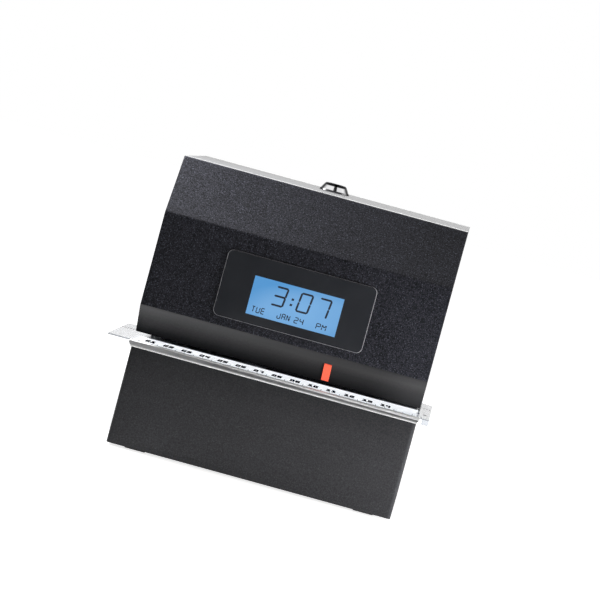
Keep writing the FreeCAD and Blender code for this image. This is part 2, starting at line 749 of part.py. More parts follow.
# ---- carriage ----------------------------------------------------
def carriage():
    """Moulded block on the rods with a platform for the print head."""
    x0 = carriage_home - carriage_half
    x1 = carriage_home + carriage_half
    front = print_y - head_radius - 2.0
    body = prism_x([(front, platform_low), (rack_front, platform_low), (rack_front, carriage_top),
                    (main_rod_y - 6.5, carriage_top), (main_rod_y - 8.0, platform_top),
                    (front, platform_top)], x0, x1)
    pocket = block(x0 + 4, x1 - 4, main_rod_y + 7, rear_rod_y - 6, platform_low + 3, carriage_top + 1)
    nose_hole = block(carriage_home - nose_width / 2, carriage_home + nose_width / 2,
                      print_y - nose_depth / 2, print_y + nose_depth / 2, platform_low - 1, platform_top + 1)
    body = body.cut(pocket).cut(nose_hole)
    for y, radius in ((main_rod_y, bush_radius), (rear_rod_y, rear_rod_radius + running)):
        body = body.cut(rod(radius, V(x0 - 1, y, rod_level), V(x1 + 1, y, rod_level)))
    for x, y in head_screw_places():
        body = body.cut(rod(head_screw_radius, V(x, y, platform_low - 1), V(x, y, platform_top + 1)))
    return body.removeSplitter()


def carriage_bushes():
    """Two bronze bushes on the main rod; the rear rod runs in the moulding."""
    bushes = []
    for side in (-1, 1):
        end = carriage_home + side * carriage_half
        start = end - side * bush_length
        sleeve = rod(bush_radius, V(start, main_rod_y, rod_level), V(end, main_rod_y, rod_level))
        bore = rod(main_rod_radius + running, V(start - side, main_rod_y, rod_level),
                   V(end + side, main_rod_y, rod_level))
        bushes.append(sleeve.cut(bore))
    return group(bushes)


def rectangle(x, y, z, width, depth):
    """Level rectangle round a point."""
    return polygon([V(x - width / 2, y - depth / 2, z), V(x + width / 2, y - depth / 2, z),
                    V(x + width / 2, y + depth / 2, z), V(x - width / 2, y + depth / 2, z)])


def octagon(x, y, z, across):
    """Level eight-sided outline round a point."""
    radius = across / 2 / math.cos(math.pi / 8)
    turns = [math.pi / 8 + math.pi / 4 * i for i in range(8)]
    return polygon([V(x + radius * math.cos(t), y + radius * math.sin(t), z) for t in turns])


def print_head():
    """Eight-sided finned pin driver with a tapered nose and a cable socket on top."""
    x = carriage_home
    top = platform_top + head_height
    core = Part.Face(octagon(x, print_y, platform_top, 2 * head_radius - 4)).extrude(V(0, 0, head_height))
    fins = []
    for i in range(6):
        low = platform_top + 2.0 + 3.5 * i
        fins.append(Part.Face(octagon(x, print_y, low, 2 * head_radius)).extrude(V(0, 0, 1.6)))
    shoulder = platform_low - 1.0
    neck = block(x - nose_width / 2, x + nose_width / 2, print_y - nose_depth / 2, print_y + nose_depth / 2,
                 shoulder, platform_top)
    nose = Part.makeLoft([rectangle(x, print_y, shoulder, nose_width, nose_depth),
                          rectangle(x, print_y, nose_tip, nose_width / 2, nose_depth / 2)], True)
    socket = block(x - 8, x + 8, print_y - 3, print_y + 3, top, top + 4)
    cavity = block(x - 6.5, x + 6.5, print_y - 1.6, print_y + 1.6, top + 1, top + 5)
    return core.fuse(fins + [neck, nose, socket]).cut(cavity).removeSplitter()


def drive_rack():
    """Toothed bar on the carriage's rear face, long enough to stay in mesh over the whole travel."""
    pitch = math.pi * rack_module
    slope = math.tan(pressure_angle)
    half = pitch / 4 - backlash / 4
    root = -1.25 * rack_module
    left = -math.ceil(6.0 / pitch) * pitch
    teeth = math.ceil((carriage_travel + 6.0) / pitch) + math.ceil(6.0 / pitch)
    foot = rack_level - 8.0
    points = [(left, foot), (left, rack_level + root)]
    for i in range(teeth):
        middle = left + (i + 0.5) * pitch
        points.append((middle - half + root * slope, rack_level + root))
        points.append((middle - half + rack_module * slope, rack_level + rack_module))
        points.append((middle + half - rack_module * slope, rack_level + rack_module))
        points.append((middle + half - root * slope, rack_level + root))
    right = left + teeth * pitch
    points += [(right, rack_level + root), (right, foot)]
    return prism_y(points, rack_front, rack_rear)


def head_screw_places():
    """Screws at the front corners of the platform."""
    return [(carriage_home + side * (carriage_half - 2.6), print_y - head_radius) for side in (-1, 1)]


def head_screws():
    """Two screws through the head's foot into the platform."""
    return group([hex_screw(head_screw_radius, V(x, y, platform_top), V(0, 0, 1), platform_top - platform_low)
                  for x, y in head_screw_places()])


# ---- ribbon ------------------------------------------------------
def ribbon_cassette():
    """Ribbon box along the front of the deck, with an arm at each end that reaches to the print line."""
    box_shape = block(cassette_left, cassette_right, cassette_front, cassette_rear,
                      head_deck_top, cassette_top)
    box_shape = fillet_where(box_shape, 2.0, lambda e: runs_along(e, V(0, 0, 1)))
    lid = block(cassette_left + 1.5, cassette_right - 1.5, cassette_front + 1.5, cassette_rear - 1.5,
                cassette_top, cassette_top + 1.2)
    arms = []
    for x in (left_arm, cassette_right - arm_width):
        arms.append(block(x, x + arm_width, cassette_rear - 3, print_y + ribbon_width / 2 + 2,
                          ribbon_level, platform_low - 0.6))
    body = box_shape.fuse([lid] + arms)
    pocket = rod(knob_stem + running, V(knob_x, knob_y, cassette_top - 8),
                 V(knob_x, knob_y, cassette_top + 2))
    return body.cut(pocket).removeSplitter()


def ink_ribbon():
    """Ribbon stretched under the two arms, across the print window."""
    return block(left_arm + 1, cassette_right - 1, print_y - ribbon_width / 2, print_y + ribbon_width / 2,
                 ribbon_level - ribbon_thick, ribbon_level)


def ribbon_knob():
    """Winding knob with flutes round its edge and a stem in the cassette."""
    low = cassette_top + 1.2 + 0.4
    outline = []
    for i in range(4 * knob_flutes):
        turn = math.pi / 2 / knob_flutes * (i + 0.5)
        radius = knob_radius - (0.9 if i % 4 > 1 else 0)
        outline.append(V(knob_x + radius * math.cos(turn), knob_y + radius * math.sin(turn), low))
    knob = Part.Face(polygon(outline)).extrude(V(0, 0, knob_height))
    stem = rod(knob_stem, V(knob_x, knob_y, cassette_top - 7), V(knob_x, knob_y, low + 1))
    grip = block(knob_x - 1.0, knob_x + 1.0, knob_y - knob_radius + 1.6, knob_y + knob_radius - 1.6,
                 low + knob_height - 1.2, low + knob_height + 1)
    return knob.fuse(stem).cut(grip).removeSplitter()


# ---- trigger -----------------------------------------------------
def trigger_bracket():
    """Two ears on the head deck with a pin across them."""
    ear = 1.2
    gap = trigger_thick / 2 + 0.6
    ears = []
    for side in (-1, 1):
        x0 = trigger_x + side * gap
        x1 = trigger_x + side * (gap + ear)
        ears.append(rounded_block(min(x0, x1), max(x0, x1), trigger_y - 3.2, trigger_y + 3.2,
                                  head_deck_top, trigger_level + 3.2, 1.5, V(1, 0, 0)))
        foot = trigger_x + side * (gap + 5.0)
        ears.append(block(min(x0, foot), max(x0, foot), trigger_y - 3.2, trigger_y + 3.2,
                          head_deck_top, head_deck_top + ear))
    pin = rod(trigger_pin_radius, V(trigger_x - gap - ear - 0.6, trigger_y, trigger_level),
              V(trigger_x + gap + ear + 0.6, trigger_y, trigger_level))
    return ears[0].fuse(ears[1:] + [pin]).removeSplitter()


def trigger_lever():
    """Finger that hangs in the throat, with a short rear arm over the switch."""
    x0 = trigger_x - trigger_thick / 2
    x1 = trigger_x + trigger_thick / 2
    hub = rod(3.0, V(x0, trigger_y, trigger_level), V(x1, trigger_y, trigger_level))
    tip = guide_top + 0.35
    finger = prism_x([(trigger_y - 1.6, trigger_level), (trigger_y + 2.0, trigger_level),
                      (trigger_y + 1.2, tip), (trigger_y - 1.2, tip)], x0, x1)
    arm = prism_x([(trigger_y, trigger_level - 0.2), (trigger_y, trigger_level + 2.6),
                   (trigger_y + 12.0, trigger_level + 2.2), (trigger_y + 12.0, trigger_level + 0.6)], x0, x1)
    bore = rod(trigger_pin_radius + running, V(x0 - 1, trigger_y, trigger_level),
               V(x1 + 1, trigger_y, trigger_level))
    return hub.fuse([finger, arm]).cut(bore).removeSplitter()


def trigger_switch():
    """Small switch on the head deck with its button under the lever's arm."""
    y = trigger_y + 12.6
    case = rounded_block(trigger_x - 3.2, trigger_x + 3.2, y, y + 12, head_deck_top, trigger_level + 0.2,
                         0.8, V(1, 0, 0))
    nose = block(trigger_x - 2.0, trigger_x + 2.0, y - 3.6, y, head_deck_top, trigger_level - 1.6)
    button = rod(0.9, V(trigger_x, y - 1.9, trigger_level - 1.6), V(trigger_x, y - 1.9, trigger_level + 0.2))
    return case.fuse([nose, button]).removeSplitter()


# ---- boards ------------------------------------------------------
def main_board():
    """Board on posts in the base, behind the solenoid."""
    return rounded_block(-board_half, board_half, board_front, board_rear, board_level,
                         board_level + board_sheet, 2.0, V(0, 0, 1))


def post_places():
    """Posts near the main board's corners."""
    inset = 5.0
    return [(side * (board_half - inset), y) for side in (-1, 1)
            for y in (board_front + inset, board_rear - inset)]


def board_posts():
    """Hexagonal brass posts between bottom plate and board."""
    return group([hexagon(post_radius, V(x, y, plate_top), V(0, 0, 1), board_level - plate_top)
                  for x, y in post_places()])


def board_parts():
    """Capacitors, chip, heat sink, battery cell in its holder and cable headers on the main board."""
    z = board_level + board_sheet
    y = board_front + 10.0
    parts = []
    for x, radius, height in ((-40, 6.0, 16), (-24, 5.0, 13), (-8, 5.0, 13)):
        parts.append(rod(radius, V(x, y, z), V(x, y, z + height)))
    y = board_front + 24.0
    parts.append(block(-12, 12, y, y + 18, z, z + 2.2))
    sink = block(24, 44, y, y + 4, z, z + 20)
    sink = sink.fuse([block(24 + 3.6 * i, 25.6 + 3.6 * i, y + 4, y + 12, z, z + 20) for i in range(6)])
    parts.append(sink.removeSplitter())
    y = board_front + 42.0
    holder = block(-50, -26, y - 8, y + 8, z, z + 3.0)
    cell = rod(10.0, V(-38, y, z + 1), V(-38, y, z + 4.2))
    parts.append(holder.fuse(cell).removeSplitter())
    for y in (board_front + 6, board_front + 56):
        header = block(10, 34, y, y + 6, z, z + 8).cut(block(11, 33, y + 1, y + 5, z + 1.5, z + 9))
        parts.append(header)
    return group(parts)


def setting_board():
    """Small board on the right frame's tab."""
    return rounded_block(setting_xs[0] - 7, frame_inner, setting_y - 12, setting_y + 12,
                         setting_level, setting_level + board_sheet, 1.5, V(0, 0, 1))


def switch_bases():
    """Square key switches with a well for the button's stem."""
    z = setting_level + board_sheet
    bases = []
    for x in setting_xs:
        base = block(x - 3.1, x + 3.1, setting_y - 3.1, setting_y + 3.1, z, z + 3.6)
        well = key_stem + running
        bases.append(base.cut(block(x - well, x + well, setting_y - well, setting_y + well, z + 0.6, z + 4)))
    return group(bases)


def setting_button(x):
    """Round key cap on a square stem."""
    base_top = setting_level + board_sheet + 3.6
    low = base_top + button_travel + 0.3
    cap = rod(key_radius, V(x, setting_y, low), V(x, setting_y, low + 4.0))
    cap = cap.makeChamfer(0.5, [e for e in cap.Edges if e.BoundBox.ZMin > low + 1])
    stem = block(x - key_stem, x + key_stem, setting_y - key_stem, setting_y + key_stem,
                 base_top - 3.0 + button_travel + 0.3, low)
    return cap.fuse(stem).removeSplitter()


# ---- cover -------------------------------------------------------
def cover_wrap():
    """One bent sheet: lower, middle and upper front facets and the top."""
    inner_path = offset_path(COVER_PATH, sheet)
    ends = chain([COVER_PATH[0], inner_path[0]]) + chain([COVER_PATH[-1], inner_path[-1]])
    wrap = extruded(bent_edges(COVER_PATH, bend) + bent_edges(inner_path, bend - sheet) + ends,
                    -half_width, half_width)
    x0, x1, z0, z1 = display_box(skirt_gap)
    opening = block(x0, x1, -1, 2 * sheet, z0, z1)
    barrel = rod(barrel_radius, V(0, lock_y, top_level - 2 * sheet), V(0, lock_y, top_level + 1))
    return wrap.cut(opening).cut(barrel)


def display_box(margin=0.0):
    """X and Z limits of the display, widened by a margin."""
    return (display_offset - display_width / 2 - margin, display_offset + display_width / 2 + margin,
            display_level - display_height / 2 - margin, display_level + display_height / 2 + margin)


def cover_side(side):
    """Flat cheek inside the wrap; it reaches down behind the throat."""
    inner_path = offset_path(COVER_PATH, sheet)
    (y0, z0), (y1, z1) = inner_path[:2]
    toe_y = y0 + (head_edge_z - z0) * (y1 - y0) / (z1 - z0)  # the cheek ends level with the wrap
    edges = bent_edges([(toe_y, head_edge_z)] + inner_path[1:-1] + [inner_path[-1]], bend - sheet)
    rest = [inner_path[-1], (case_depth, cover_low), (column_y, cover_low), (column_y, head_edge_z),
            (toe_y, head_edge_z)]
    x0 = side * inner_half
    x1 = side * half_width
    return extruded(edges + chain(rest), min(x0, x1), max(x0, x1))


def window_lens():
    """Glossy plate over the middle facet, open where the display shows."""
    x = window_offset
    z0 = window_level - window_height / 2
    plate = rounded_block(x - window_width / 2, x + window_width / 2, -window_proud, 0,
                          z0, z0 + window_height, window_corner, V(0, 1, 0))
    plate = plate.makeChamfer(0.25, [e for e in plate.Edges if e.BoundBox.YMax < -window_proud + 0.01])
    a, b, c, d = display_box()
    return plate.cut(block(a, b, -2, 2, c, d))


def lcd_glass():
    """Display glass, set just under the window's face."""
    a, b, c, d = display_box(-0.05)
    return block(a, b, 0.25 - window_proud, sheet, c, d)


def lcd_module():
    """Backlit display housing on the wrap's inner face, with four ears."""
    a, b, c, d = display_box(4.0)
    body = block(a, b, sheet, sheet + 6.0, c, d)
    ears = [block(x - 3.5, x + 3.5, sheet, sheet + 6.0, z - 3.5, z + 3.5)
            for x in (a - 3.0, b + 3.0) for z in (c + 3.5, d - 3.5)]
    return body.fuse(ears).removeSplitter()


def display_board():
    """Board behind the display housing, with a driver chip and a header."""
    a, b, c, d = display_box(8.5)
    y = sheet + 6.0
    board = rounded_block(a, b, y, y + board_sheet, c, d, 1.5, V(0, 1, 0))
    chip = block(-8, 8, y + board_sheet, y + board_sheet + 1.2, display_level - 5, display_level + 5)
    return board.fuse(chip).removeSplitter()


def print_mark():
    """Orange pointer on the lower facet that shows where the print falls."""
    (y0, z0), (y1, z1) = COVER_PATH[:2]
    length = math.hypot(y1 - y0, z1 - z0)
    along = V(0, (y1 - y0) / length, (z1 - z0) / length)
    outward = V(0, (z0 - z1) / length, (y1 - y0) / length)
    start = V(mark_x - mark_width / 2, y0, z0).add(V(along).multiply(2.0))
    wire = polygon([start, start.add(V(mark_width, 0, 0)),
                    start.add(V(mark_width, 0, 0)).add(V(along).multiply(mark_length)),
                    start.add(V(along).multiply(mark_length))])
    return Part.Face(wire).extrude(V(outward).multiply(mark_proud))


# ---- lock --------------------------------------------------------
def lock_body():
    """Turned body: polished cone on the cover, threaded barrel below with two flats."""
    top = top_level + lock_height
    low = top_level - sheet - 14.0
    outline = [V(0, lock_y, low), V(barrel_radius, lock_y, low), V(barrel_radius, lock_y, top_level),
               V(lock_base_radius, lock_y, top_level), V(lock_base_radius, lock_y, top_level + 0.9),
               V(lock_top_radius + 0.5, lock_y, top - 0.4), V(lock_top_radius, lock_y, top),
               V(0, lock_y, top)]
    body = Part.Face(polygon(outline)).revolve(V(0, lock_y, 0), V(0, 0, 1), 360)
    bore = rod(plug_radius + running, V(0, lock_y, low - 1), V(0, lock_y, top + 1))
    return body.cut(bore)


def lock_nut():
    """Hexagon nut under the cover's top."""
    high = top_level - sheet
    nut = hexagon(10.5 / math.cos(math.pi / 6), V(0, lock_y, high - 3.5), V(0, 0, 1), 3.5)
    return nut.cut(rod(barrel_radius, V(0, lock_y, high - 5), V(0, lock_y, high + 1)))


def lock_plug():
    """Turning plug with a keyway in its face and a square end for the cam."""
    top = top_level + lock_height - 0.25
    low = plug_low()
    plug = rod(plug_radius, V(0, lock_y, low), V(0, lock_y, top))
    keyway = block(-0.8, 0.8, lock_y - 3.2, lock_y + 3.2, top - 9.0, top + 1)
    square = block(-2.5, 2.5, lock_y - 2.5, lock_y + 2.5, low - cam_sheet - 1.2, low)
    return plug.cut(keyway).fuse(square).removeSplitter()


def plug_low():
    """Lower end of the plug's round part, where the cam seats."""
    return top_level + lock_height - plug_length


def lock_cam():
    """Flat cam that swings under the keeper."""
    high = plug_low()
    low = high - cam_sheet
    arm = rounded_block(-cam_reach, 0, lock_y - 5, lock_y + 5, low, high, 3.0, V(0, 0, 1))
    eye = rod(7.0, V(0, lock_y, low), V(0, lock_y, high))
    hole = block(-2.5, 2.5, lock_y - 2.5, lock_y + 2.5, low - 1, high + 1)
    return arm.fuse(eye).cut(hole).removeSplitter()


def lock_keeper():
    """Angle on the rear panel whose shelf the cam swings under."""
    low = plug_low() + 0.6
    shelf = block(-9, 9, lock_y + 13, panel_y, low, low + 1.5)
    leg = block(-9, 9, panel_y - 1.5, panel_y, low - 14, low)
    gusset = prism_x([(panel_y - 1.5, low - 10), (panel_y - 1.5, low), (panel_y - 11.5, low)], -9, -7.5)
    return shelf.fuse([leg, gusset]).removeSplitter()


def mechanism_screw_places():
    """Y and Z of the screws through each side frame: deck flanges, then the motor plate's feet."""
    return ([(y, head_deck_top + 4) for y in deck_screw_ys]
            + [(motor_plate_y + motor_screw_inset, z) for z in motor_screw_levels])


def mechanism_screws():
    """Screws that hold the deck's flanges and the motor plate's feet to the side frames."""
    reach = frame_inner + frame_sheet
    return group([hex_screw(screw_radius, V(side * reach, y, z), V(side, 0, 0), frame_sheet + sheet + 0.8)
                  for side in (-1, 1) for y, z in mechanism_screw_places()])


def mechanism_holes(shape):
    """Clears the mechanism screws' shanks from a piece."""
    for y, z in mechanism_screw_places():
        for side in (-1, 1):
            shape = shape.cut(rod(screw_radius, V(side * (frame_inner - 10), y, z),
                                  V(side * (frame_inner + 10), y, z)))
    return shape


# ---- export ------------------------------------------------------
PIECES = {
    "base_shell": base_shell(),
    "bottom_plate": bottom_plate(),
    "rubber_feet": rubber_feet(),
    "case_screws": case_screws(),
    "side_frame_left": mechanism_holes(side_frame(-1)),
    "side_frame_right": mechanism_holes(side_frame(1)),
    "mechanism_screws": mechanism_screws(),
    "rear_panel": rear_panel(),
    "power_inlet": power_inlet(),
    "front_bar": front_bar(),
    "paper_table": paper_table(),
    "guide_rivets": guide_rivets(),
    "paper_guide": paper_guide(),
    "head_deck": mechanism_holes(head_deck()),
    "slot_lamp": slot_lamp(),
    "guide_rods": guide_rods(),
    "motor_plate": mechanism_holes(motor_plate()),
    "carriage_motor": carriage_motor(),
    "motor_pinion": motor_pinion(),
    "drive_gear": drive_gear(),
    "gear_pin": gear_pin(),
    "carriage": carriage(),
    "carriage_bushes": carriage_bushes(),
    "print_head": print_head(),
    "drive_rack": drive_rack(),
    "head_screws": head_screws(),
    "ribbon_cassette": ribbon_cassette(),
    "ink_ribbon": ink_ribbon(),
    "ribbon_knob": ribbon_knob(),
    "platen_pad": platen_pad(),
    "platen_bar": platen_bar(),
    "lift_plunger": lift_plunger(),
    "platen_spring": platen_spring(),
    "lift_solenoid": lift_solenoid(),
    "trigger_bracket": trigger_bracket(),
    "trigger_lever": trigger_lever(),
    "trigger_switch": trigger_switch(),
    "main_board": main_board(),
    "board_posts": board_posts(),
    "board_parts": board_parts(),
    "setting_board": setting_board(),
    "switch_bases": switch_bases(),
    "cover_wrap": cover_wrap(),
    "cover_side_left": cover_side(-1),
    "cover_side_right": cover_side(1),
    "window_lens": window_lens(),
    "lcd_glass": lcd_glass(),
    "lcd_module": lcd_module(),
    "display_board": display_board(),
    "print_mark": print_mark(),
    "lock_body": lock_body(),
    "lock_nut": lock_nut(),
    "lock_plug": lock_plug(),
    "lock_cam": lock_cam(),
    "lock_keeper": lock_keeper(),
}
for number, button_x in enumerate(setting_xs, start=1):
    PIECES["set_button_%d" % number] = setting_button(button_x)

os.makedirs("parts", exist_ok=True)
for name, shape in PIECES.items():
    shape.translate(V(shift_x, shift_y, 0))
    shape.exportStep("parts/%s.step" % name)
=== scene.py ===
"""Look of the date and time stamp machine: materials, printed and lit details, light and camera."""
import json
import math

import bmesh
import bpy
from mathutils import Matrix, Vector


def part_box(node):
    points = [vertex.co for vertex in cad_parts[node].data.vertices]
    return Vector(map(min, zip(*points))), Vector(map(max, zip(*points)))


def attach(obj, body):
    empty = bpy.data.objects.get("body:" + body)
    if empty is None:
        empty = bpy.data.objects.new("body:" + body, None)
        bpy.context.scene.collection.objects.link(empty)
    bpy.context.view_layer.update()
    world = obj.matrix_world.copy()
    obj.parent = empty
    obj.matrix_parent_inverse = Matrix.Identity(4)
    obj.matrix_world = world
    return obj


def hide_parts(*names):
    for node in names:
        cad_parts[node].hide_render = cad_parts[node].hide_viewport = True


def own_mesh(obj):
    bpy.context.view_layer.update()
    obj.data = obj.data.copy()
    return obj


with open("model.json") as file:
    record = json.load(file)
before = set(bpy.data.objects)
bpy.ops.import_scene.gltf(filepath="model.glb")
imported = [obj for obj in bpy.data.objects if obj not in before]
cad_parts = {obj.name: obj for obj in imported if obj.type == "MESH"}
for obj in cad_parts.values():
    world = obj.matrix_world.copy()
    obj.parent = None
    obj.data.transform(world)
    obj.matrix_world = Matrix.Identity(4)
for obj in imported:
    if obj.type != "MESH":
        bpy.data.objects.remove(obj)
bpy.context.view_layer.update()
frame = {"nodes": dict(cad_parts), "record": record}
NODES = frame["nodes"]
MM = 0.001


# ---- colours and shader nodes ------------------------------------
def srgb(r, g, b):
    """Linear colour of an 8-bit display colour."""
    def linear(level):
        return level / 12.92 if level <= 0.04045 else ((level + 0.055) / 1.055) ** 2.4

    return tuple(linear(channel / 255) for channel in (r, g, b))


def grey(level):
    """Linear grey."""
    return (level, level, level)


class NodeTree:
    """A shader tree, with short-hands for the nodes that this script uses."""

    def __init__(self, tree):
        self.tree = tree

    def feed(self, socket, value):
        """Gives an input another node's output or a constant; a colour gets an alpha of 1."""
        if isinstance(value, bpy.types.NodeSocket):
            self.tree.links.new(value, socket)
        elif socket.type == "RGBA":
            socket.default_value = (*value, 1)
        else:
            socket.default_value = value

    def node(self, kind, **inputs):
        """New node; the spaces in an input's name are written as _."""
        made = self.tree.nodes.new(kind)
        for name, value in inputs.items():
            self.feed(made.inputs[name.replace("_", " ")], value)
        return made

    def coords(self, stretch=(1, 1, 1), offset=(0, 0, 0)):
        """Object-space position, stretched and shifted."""
        place = self.node("ShaderNodeTexCoord").outputs["Object"]
        made = self.node("ShaderNodeMapping", Vector=place, Scale=stretch, Location=offset)
        return made.outputs["Vector"]

    def axis(self, letter):
        """One coordinate of the object-space position, in metres."""
        place = self.node("ShaderNodeTexCoord").outputs["Object"]
        return self.node("ShaderNodeSeparateXYZ", Vector=place).outputs[letter]

    def noise(self, scale, detail=3.0, stretch=(1, 1, 1), roughness=0.55, offset=(0, 0, 0)):
        """Noise over the object-space position."""
        made = self.node("ShaderNodeTexNoise", Vector=self.coords(stretch, offset), Scale=scale,
                         Detail=detail, Roughness=roughness)
        return made.outputs[0]

    def ramp(self, value, stops):
        """Colours along a value; stops are (position, colour), in rising order."""
        made = self.node("ShaderNodeValToRGB", Fac=value)
        elements = made.color_ramp.elements
        for i, (position, color) in enumerate(stops):
            stop = elements[i] if i < 2 else elements.new(position)
            stop.position = position
            stop.color = (*color, 1)
        return made.outputs["Color"]

    def span(self, value, low, high, a=0.0, b=1.0, smooth=True):
        """Value remapped from low..high to a..b."""
        made = self.node("ShaderNodeMapRange")
        made.interpolation_type = "SMOOTHSTEP" if smooth else "LINEAR"
        for socket, number in zip(made.inputs, (value, low, high, a, b)):
            self.feed(socket, number)
        return made.outputs[0]

    def spread(self, noise, a, b):
        """A noise's usual reach, 0.3 to 0.7, remapped to a..b."""
        return self.span(noise, 0.3, 0.7, a, b)

    def math(self, operation, *values):
        """Math node on numbers or outputs."""
        made = self.node("ShaderNodeMath")
        made.operation = operation
        for socket, value in zip(made.inputs, values):
            self.feed(socket, value)
        return made.outputs[0]

    def mix(self, factor, a, b, blend="MIX"):
        """Colour mix; its sockets are reached by number, because several share a name."""
        made = self.node("ShaderNodeMix")
        made.data_type = "RGBA"
        made.blend_type = blend
        for i, value in ((0, factor), (6, a), (7, b)):
            self.feed(made.inputs[i], value)
        return made.outputs[2]

    def seen_ray(self):
        """1 for a camera, glossy or transmission ray."""
        path = self.node("ShaderNodeLightPath").outputs
        direct = self.math("MAXIMUM", path["Is Camera Ray"], path["Is Glossy Ray"])
        return self.math("MAXIMUM", direct, path["Is Transmission Ray"])


class Look(NodeTree):
    """One material on a Principled shader."""

    def __init__(self, name, rough=0.5, metal=0.0, spec=0.5, **sockets):
        self.mat = bpy.data.materials.new(name)
        self.mat.use_nodes = True
        super().__init__(self.mat.node_tree)
        self.bsdf = self.tree.nodes["Principled BSDF"]
        self.set("Roughness", rough)
        self.set("Metallic", metal)
        self.set("Specular IOR Level", spec)
        for socket, value in sockets.items():
            self.set(socket.replace("_", " "), value)

    def set(self, socket, value):
        """Feeds one input of the shader."""
        self.feed(self.bsdf.inputs[socket], value)

    def color(self, value):
        self.set("Base Color", value)

    def rough(self, value):
        self.set("Roughness", value)

    def bump(self, height, distance):
        """Bump from a 0..1 height, distance in millimetres."""
        made = self.node("ShaderNodeBump", Height=height, Distance=distance * MM)
        self.set("Normal", made.outputs["Normal"])

    def glow(self, color, strength):
        self.set("Emission Color", color)
        self.set("Emission Strength", strength)


# ---- materials of several nodes ----------------------------------
def grained(name, dark, light, rough, metal=0.0, spec=0.5, scale=900.0, stretch=(1, 1, 1),
            bump=0.02, detail=3.0):
    """Surface whose colour, roughness and height follow one fine noise with a broad, faint drift in it."""
    look = Look(name, metal=metal, spec=spec)
    fine = look.noise(scale, detail, stretch)
    broad = look.noise(28.0, 2.0)
    tone = look.math("MULTIPLY_ADD", broad, 0.35, fine)
    look.color(look.ramp(tone, [(0.42, dark), (0.92, light)]))
    look.rough(look.spread(fine, *rough))
    look.bump(fine, bump)
    return look


def brushed(name, dark, light, rough, stretch, scale=260.0, bump=0.006):
    """Rolled or ground metal with fine lines along one axis."""
    return grained(name, dark, light, rough, metal=1.0, scale=scale, stretch=stretch, bump=bump, detail=5.0)


def powder_coat(name, dark, light, fleck, spec, rough, grain):
    """Fine-textured powder coat: dense pimples, grain millimetres high, with the odd brighter fleck."""
    look = Look(name, spec=spec)
    pimple = look.noise(1250.0, 2.0, roughness=0.75)
    spot = look.noise(1900.0, 1.0, offset=(3, 7, 1))
    broad = look.noise(22.0, 2.0)
    tone = look.math("ADD", look.span(pimple, 0.36, 0.64, 0.0, 0.85), look.spread(broad, 0.0, 0.15))
    field = look.ramp(tone, [(0.05, dark), (0.95, light)])
    look.color(look.mix(look.span(spot, 0.58, 0.7), field, fleck))
    look.rough(look.span(pimple, 0.35, 0.65, *rough))
    look.bump(pimple, grain)
    return look


def zinc_sheet():
    """Zinc-plated sheet: faint spangle and rolling marks."""
    look = Look("zinc_sheet", metal=1.0)
    cells = look.node("ShaderNodeTexVoronoi", Vector=look.coords(), Scale=170.0)
    spangle = look.node("ShaderNodeSeparateColor", Color=cells.outputs["Color"]).outputs[0]
    lines = look.noise(500.0, 4.0, stretch=(1, 0.08, 1))
    tone = look.math("ADD", look.math("MULTIPLY", spangle, 0.35), look.math("MULTIPLY", lines, 0.65))
    look.color(look.ramp(tone, [(0.15, (0.42, 0.43, 0.44)), (0.85, (0.66, 0.67, 0.66))]))
    look.rough(look.span(tone, 0.1, 0.9, 0.26, 0.48))
    look.bump(lines, 0.004)
    return look


def circuit_board():
    """Green solder mask with darker laminate, copper runs under it and tinned pads."""
    look = Look("circuit_board")
    runs = look.node("ShaderNodeTexBrick", Vector=look.coords(), Scale=1.0, Mortar_Size=0.0009,
                     Brick_Width=0.011, Row_Height=0.0034)
    runs.offset = 0.37
    dots = look.node("ShaderNodeTexVoronoi", Vector=look.coords(), Scale=330.0, Randomness=0.25)
    group = look.span(look.noise(60.0, 1.0), 0.5, 0.56)
    pad = look.math("MULTIPLY", look.span(dots.outputs["Distance"], 0.24, 0.2), group)
    mask = look.mix(runs.outputs["Fac"], (0.012, 0.085, 0.04), (0.02, 0.16, 0.07))
    look.color(look.mix(pad, mask, (0.62, 0.62, 0.6)))
    look.set("Metallic", pad)
    look.rough(look.span(pad, 0.0, 1.0, 0.36, 0.28))
    look.bump(runs.outputs["Fac"], 0.02)
    return look


# ---- coats of the case -------------------------------------------
FACET_HEIGHT = 15.0 * MM    # of the cover's lower facet
TOUCH = 0.1 * MM            # faces and vertices this near a box's side lie on it


def satin_coat_painted_shading():
    """Smooth coat of the lower facet: glossier at its upper fold, dull towards the edge over the slot. Its
    colour is painted shading, lighter at the fold and near black at the edge over the slot, with painted
    light along the right end.
    """
    look = Look("satin_coat_painted_shading", spec=0.035)
    low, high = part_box("cover_wrap")
    grain = look.noise(900.0, 2.0)
    level = look.span(look.axis("Z"), low.z, low.z + FACET_HEIGHT, smooth=False)
    tone = look.math("ADD", level, look.spread(grain, -0.03, 0.03))
    # painted shading: near black at the edge over the slot, lighter up to the fold, a left and a right
    # version blended across the facet
    left = look.ramp(tone, [(0.0, (0.002, 0.002, 0.0025)), (0.22, (0.0145, 0.0145, 0.0155)),
                            (0.5, (0.0395, 0.0395, 0.041)), (1.0, (0.1, 0.1, 0.103))])
    right = look.ramp(tone, [(0.0, (0.005, 0.005, 0.0055)), (0.36, (0.015, 0.015, 0.016)),
                             (0.5, (0.0187, 0.0187, 0.0195)), (0.78, (0.0365, 0.0365, 0.0375)),
                             (1.0, (0.026, 0.026, 0.027))])
    across = look.math("POWER", look.span(look.axis("X"), low.x, high.x), 0.6)
    # painted light: a lift in colour along the right end
    right_end_painted_light = look.span(look.axis("X"), high.x - 32.0 * MM, high.x)
    look.color(look.mix(right_end_painted_light, look.mix(across, left, right), (0.014, 0.014, 0.0145), "ADD"))
    look.rough(look.math("SUBTRACT", look.spread(grain, 0.62, 0.66), look.math("MULTIPLY", level, 0.3)))
    return look


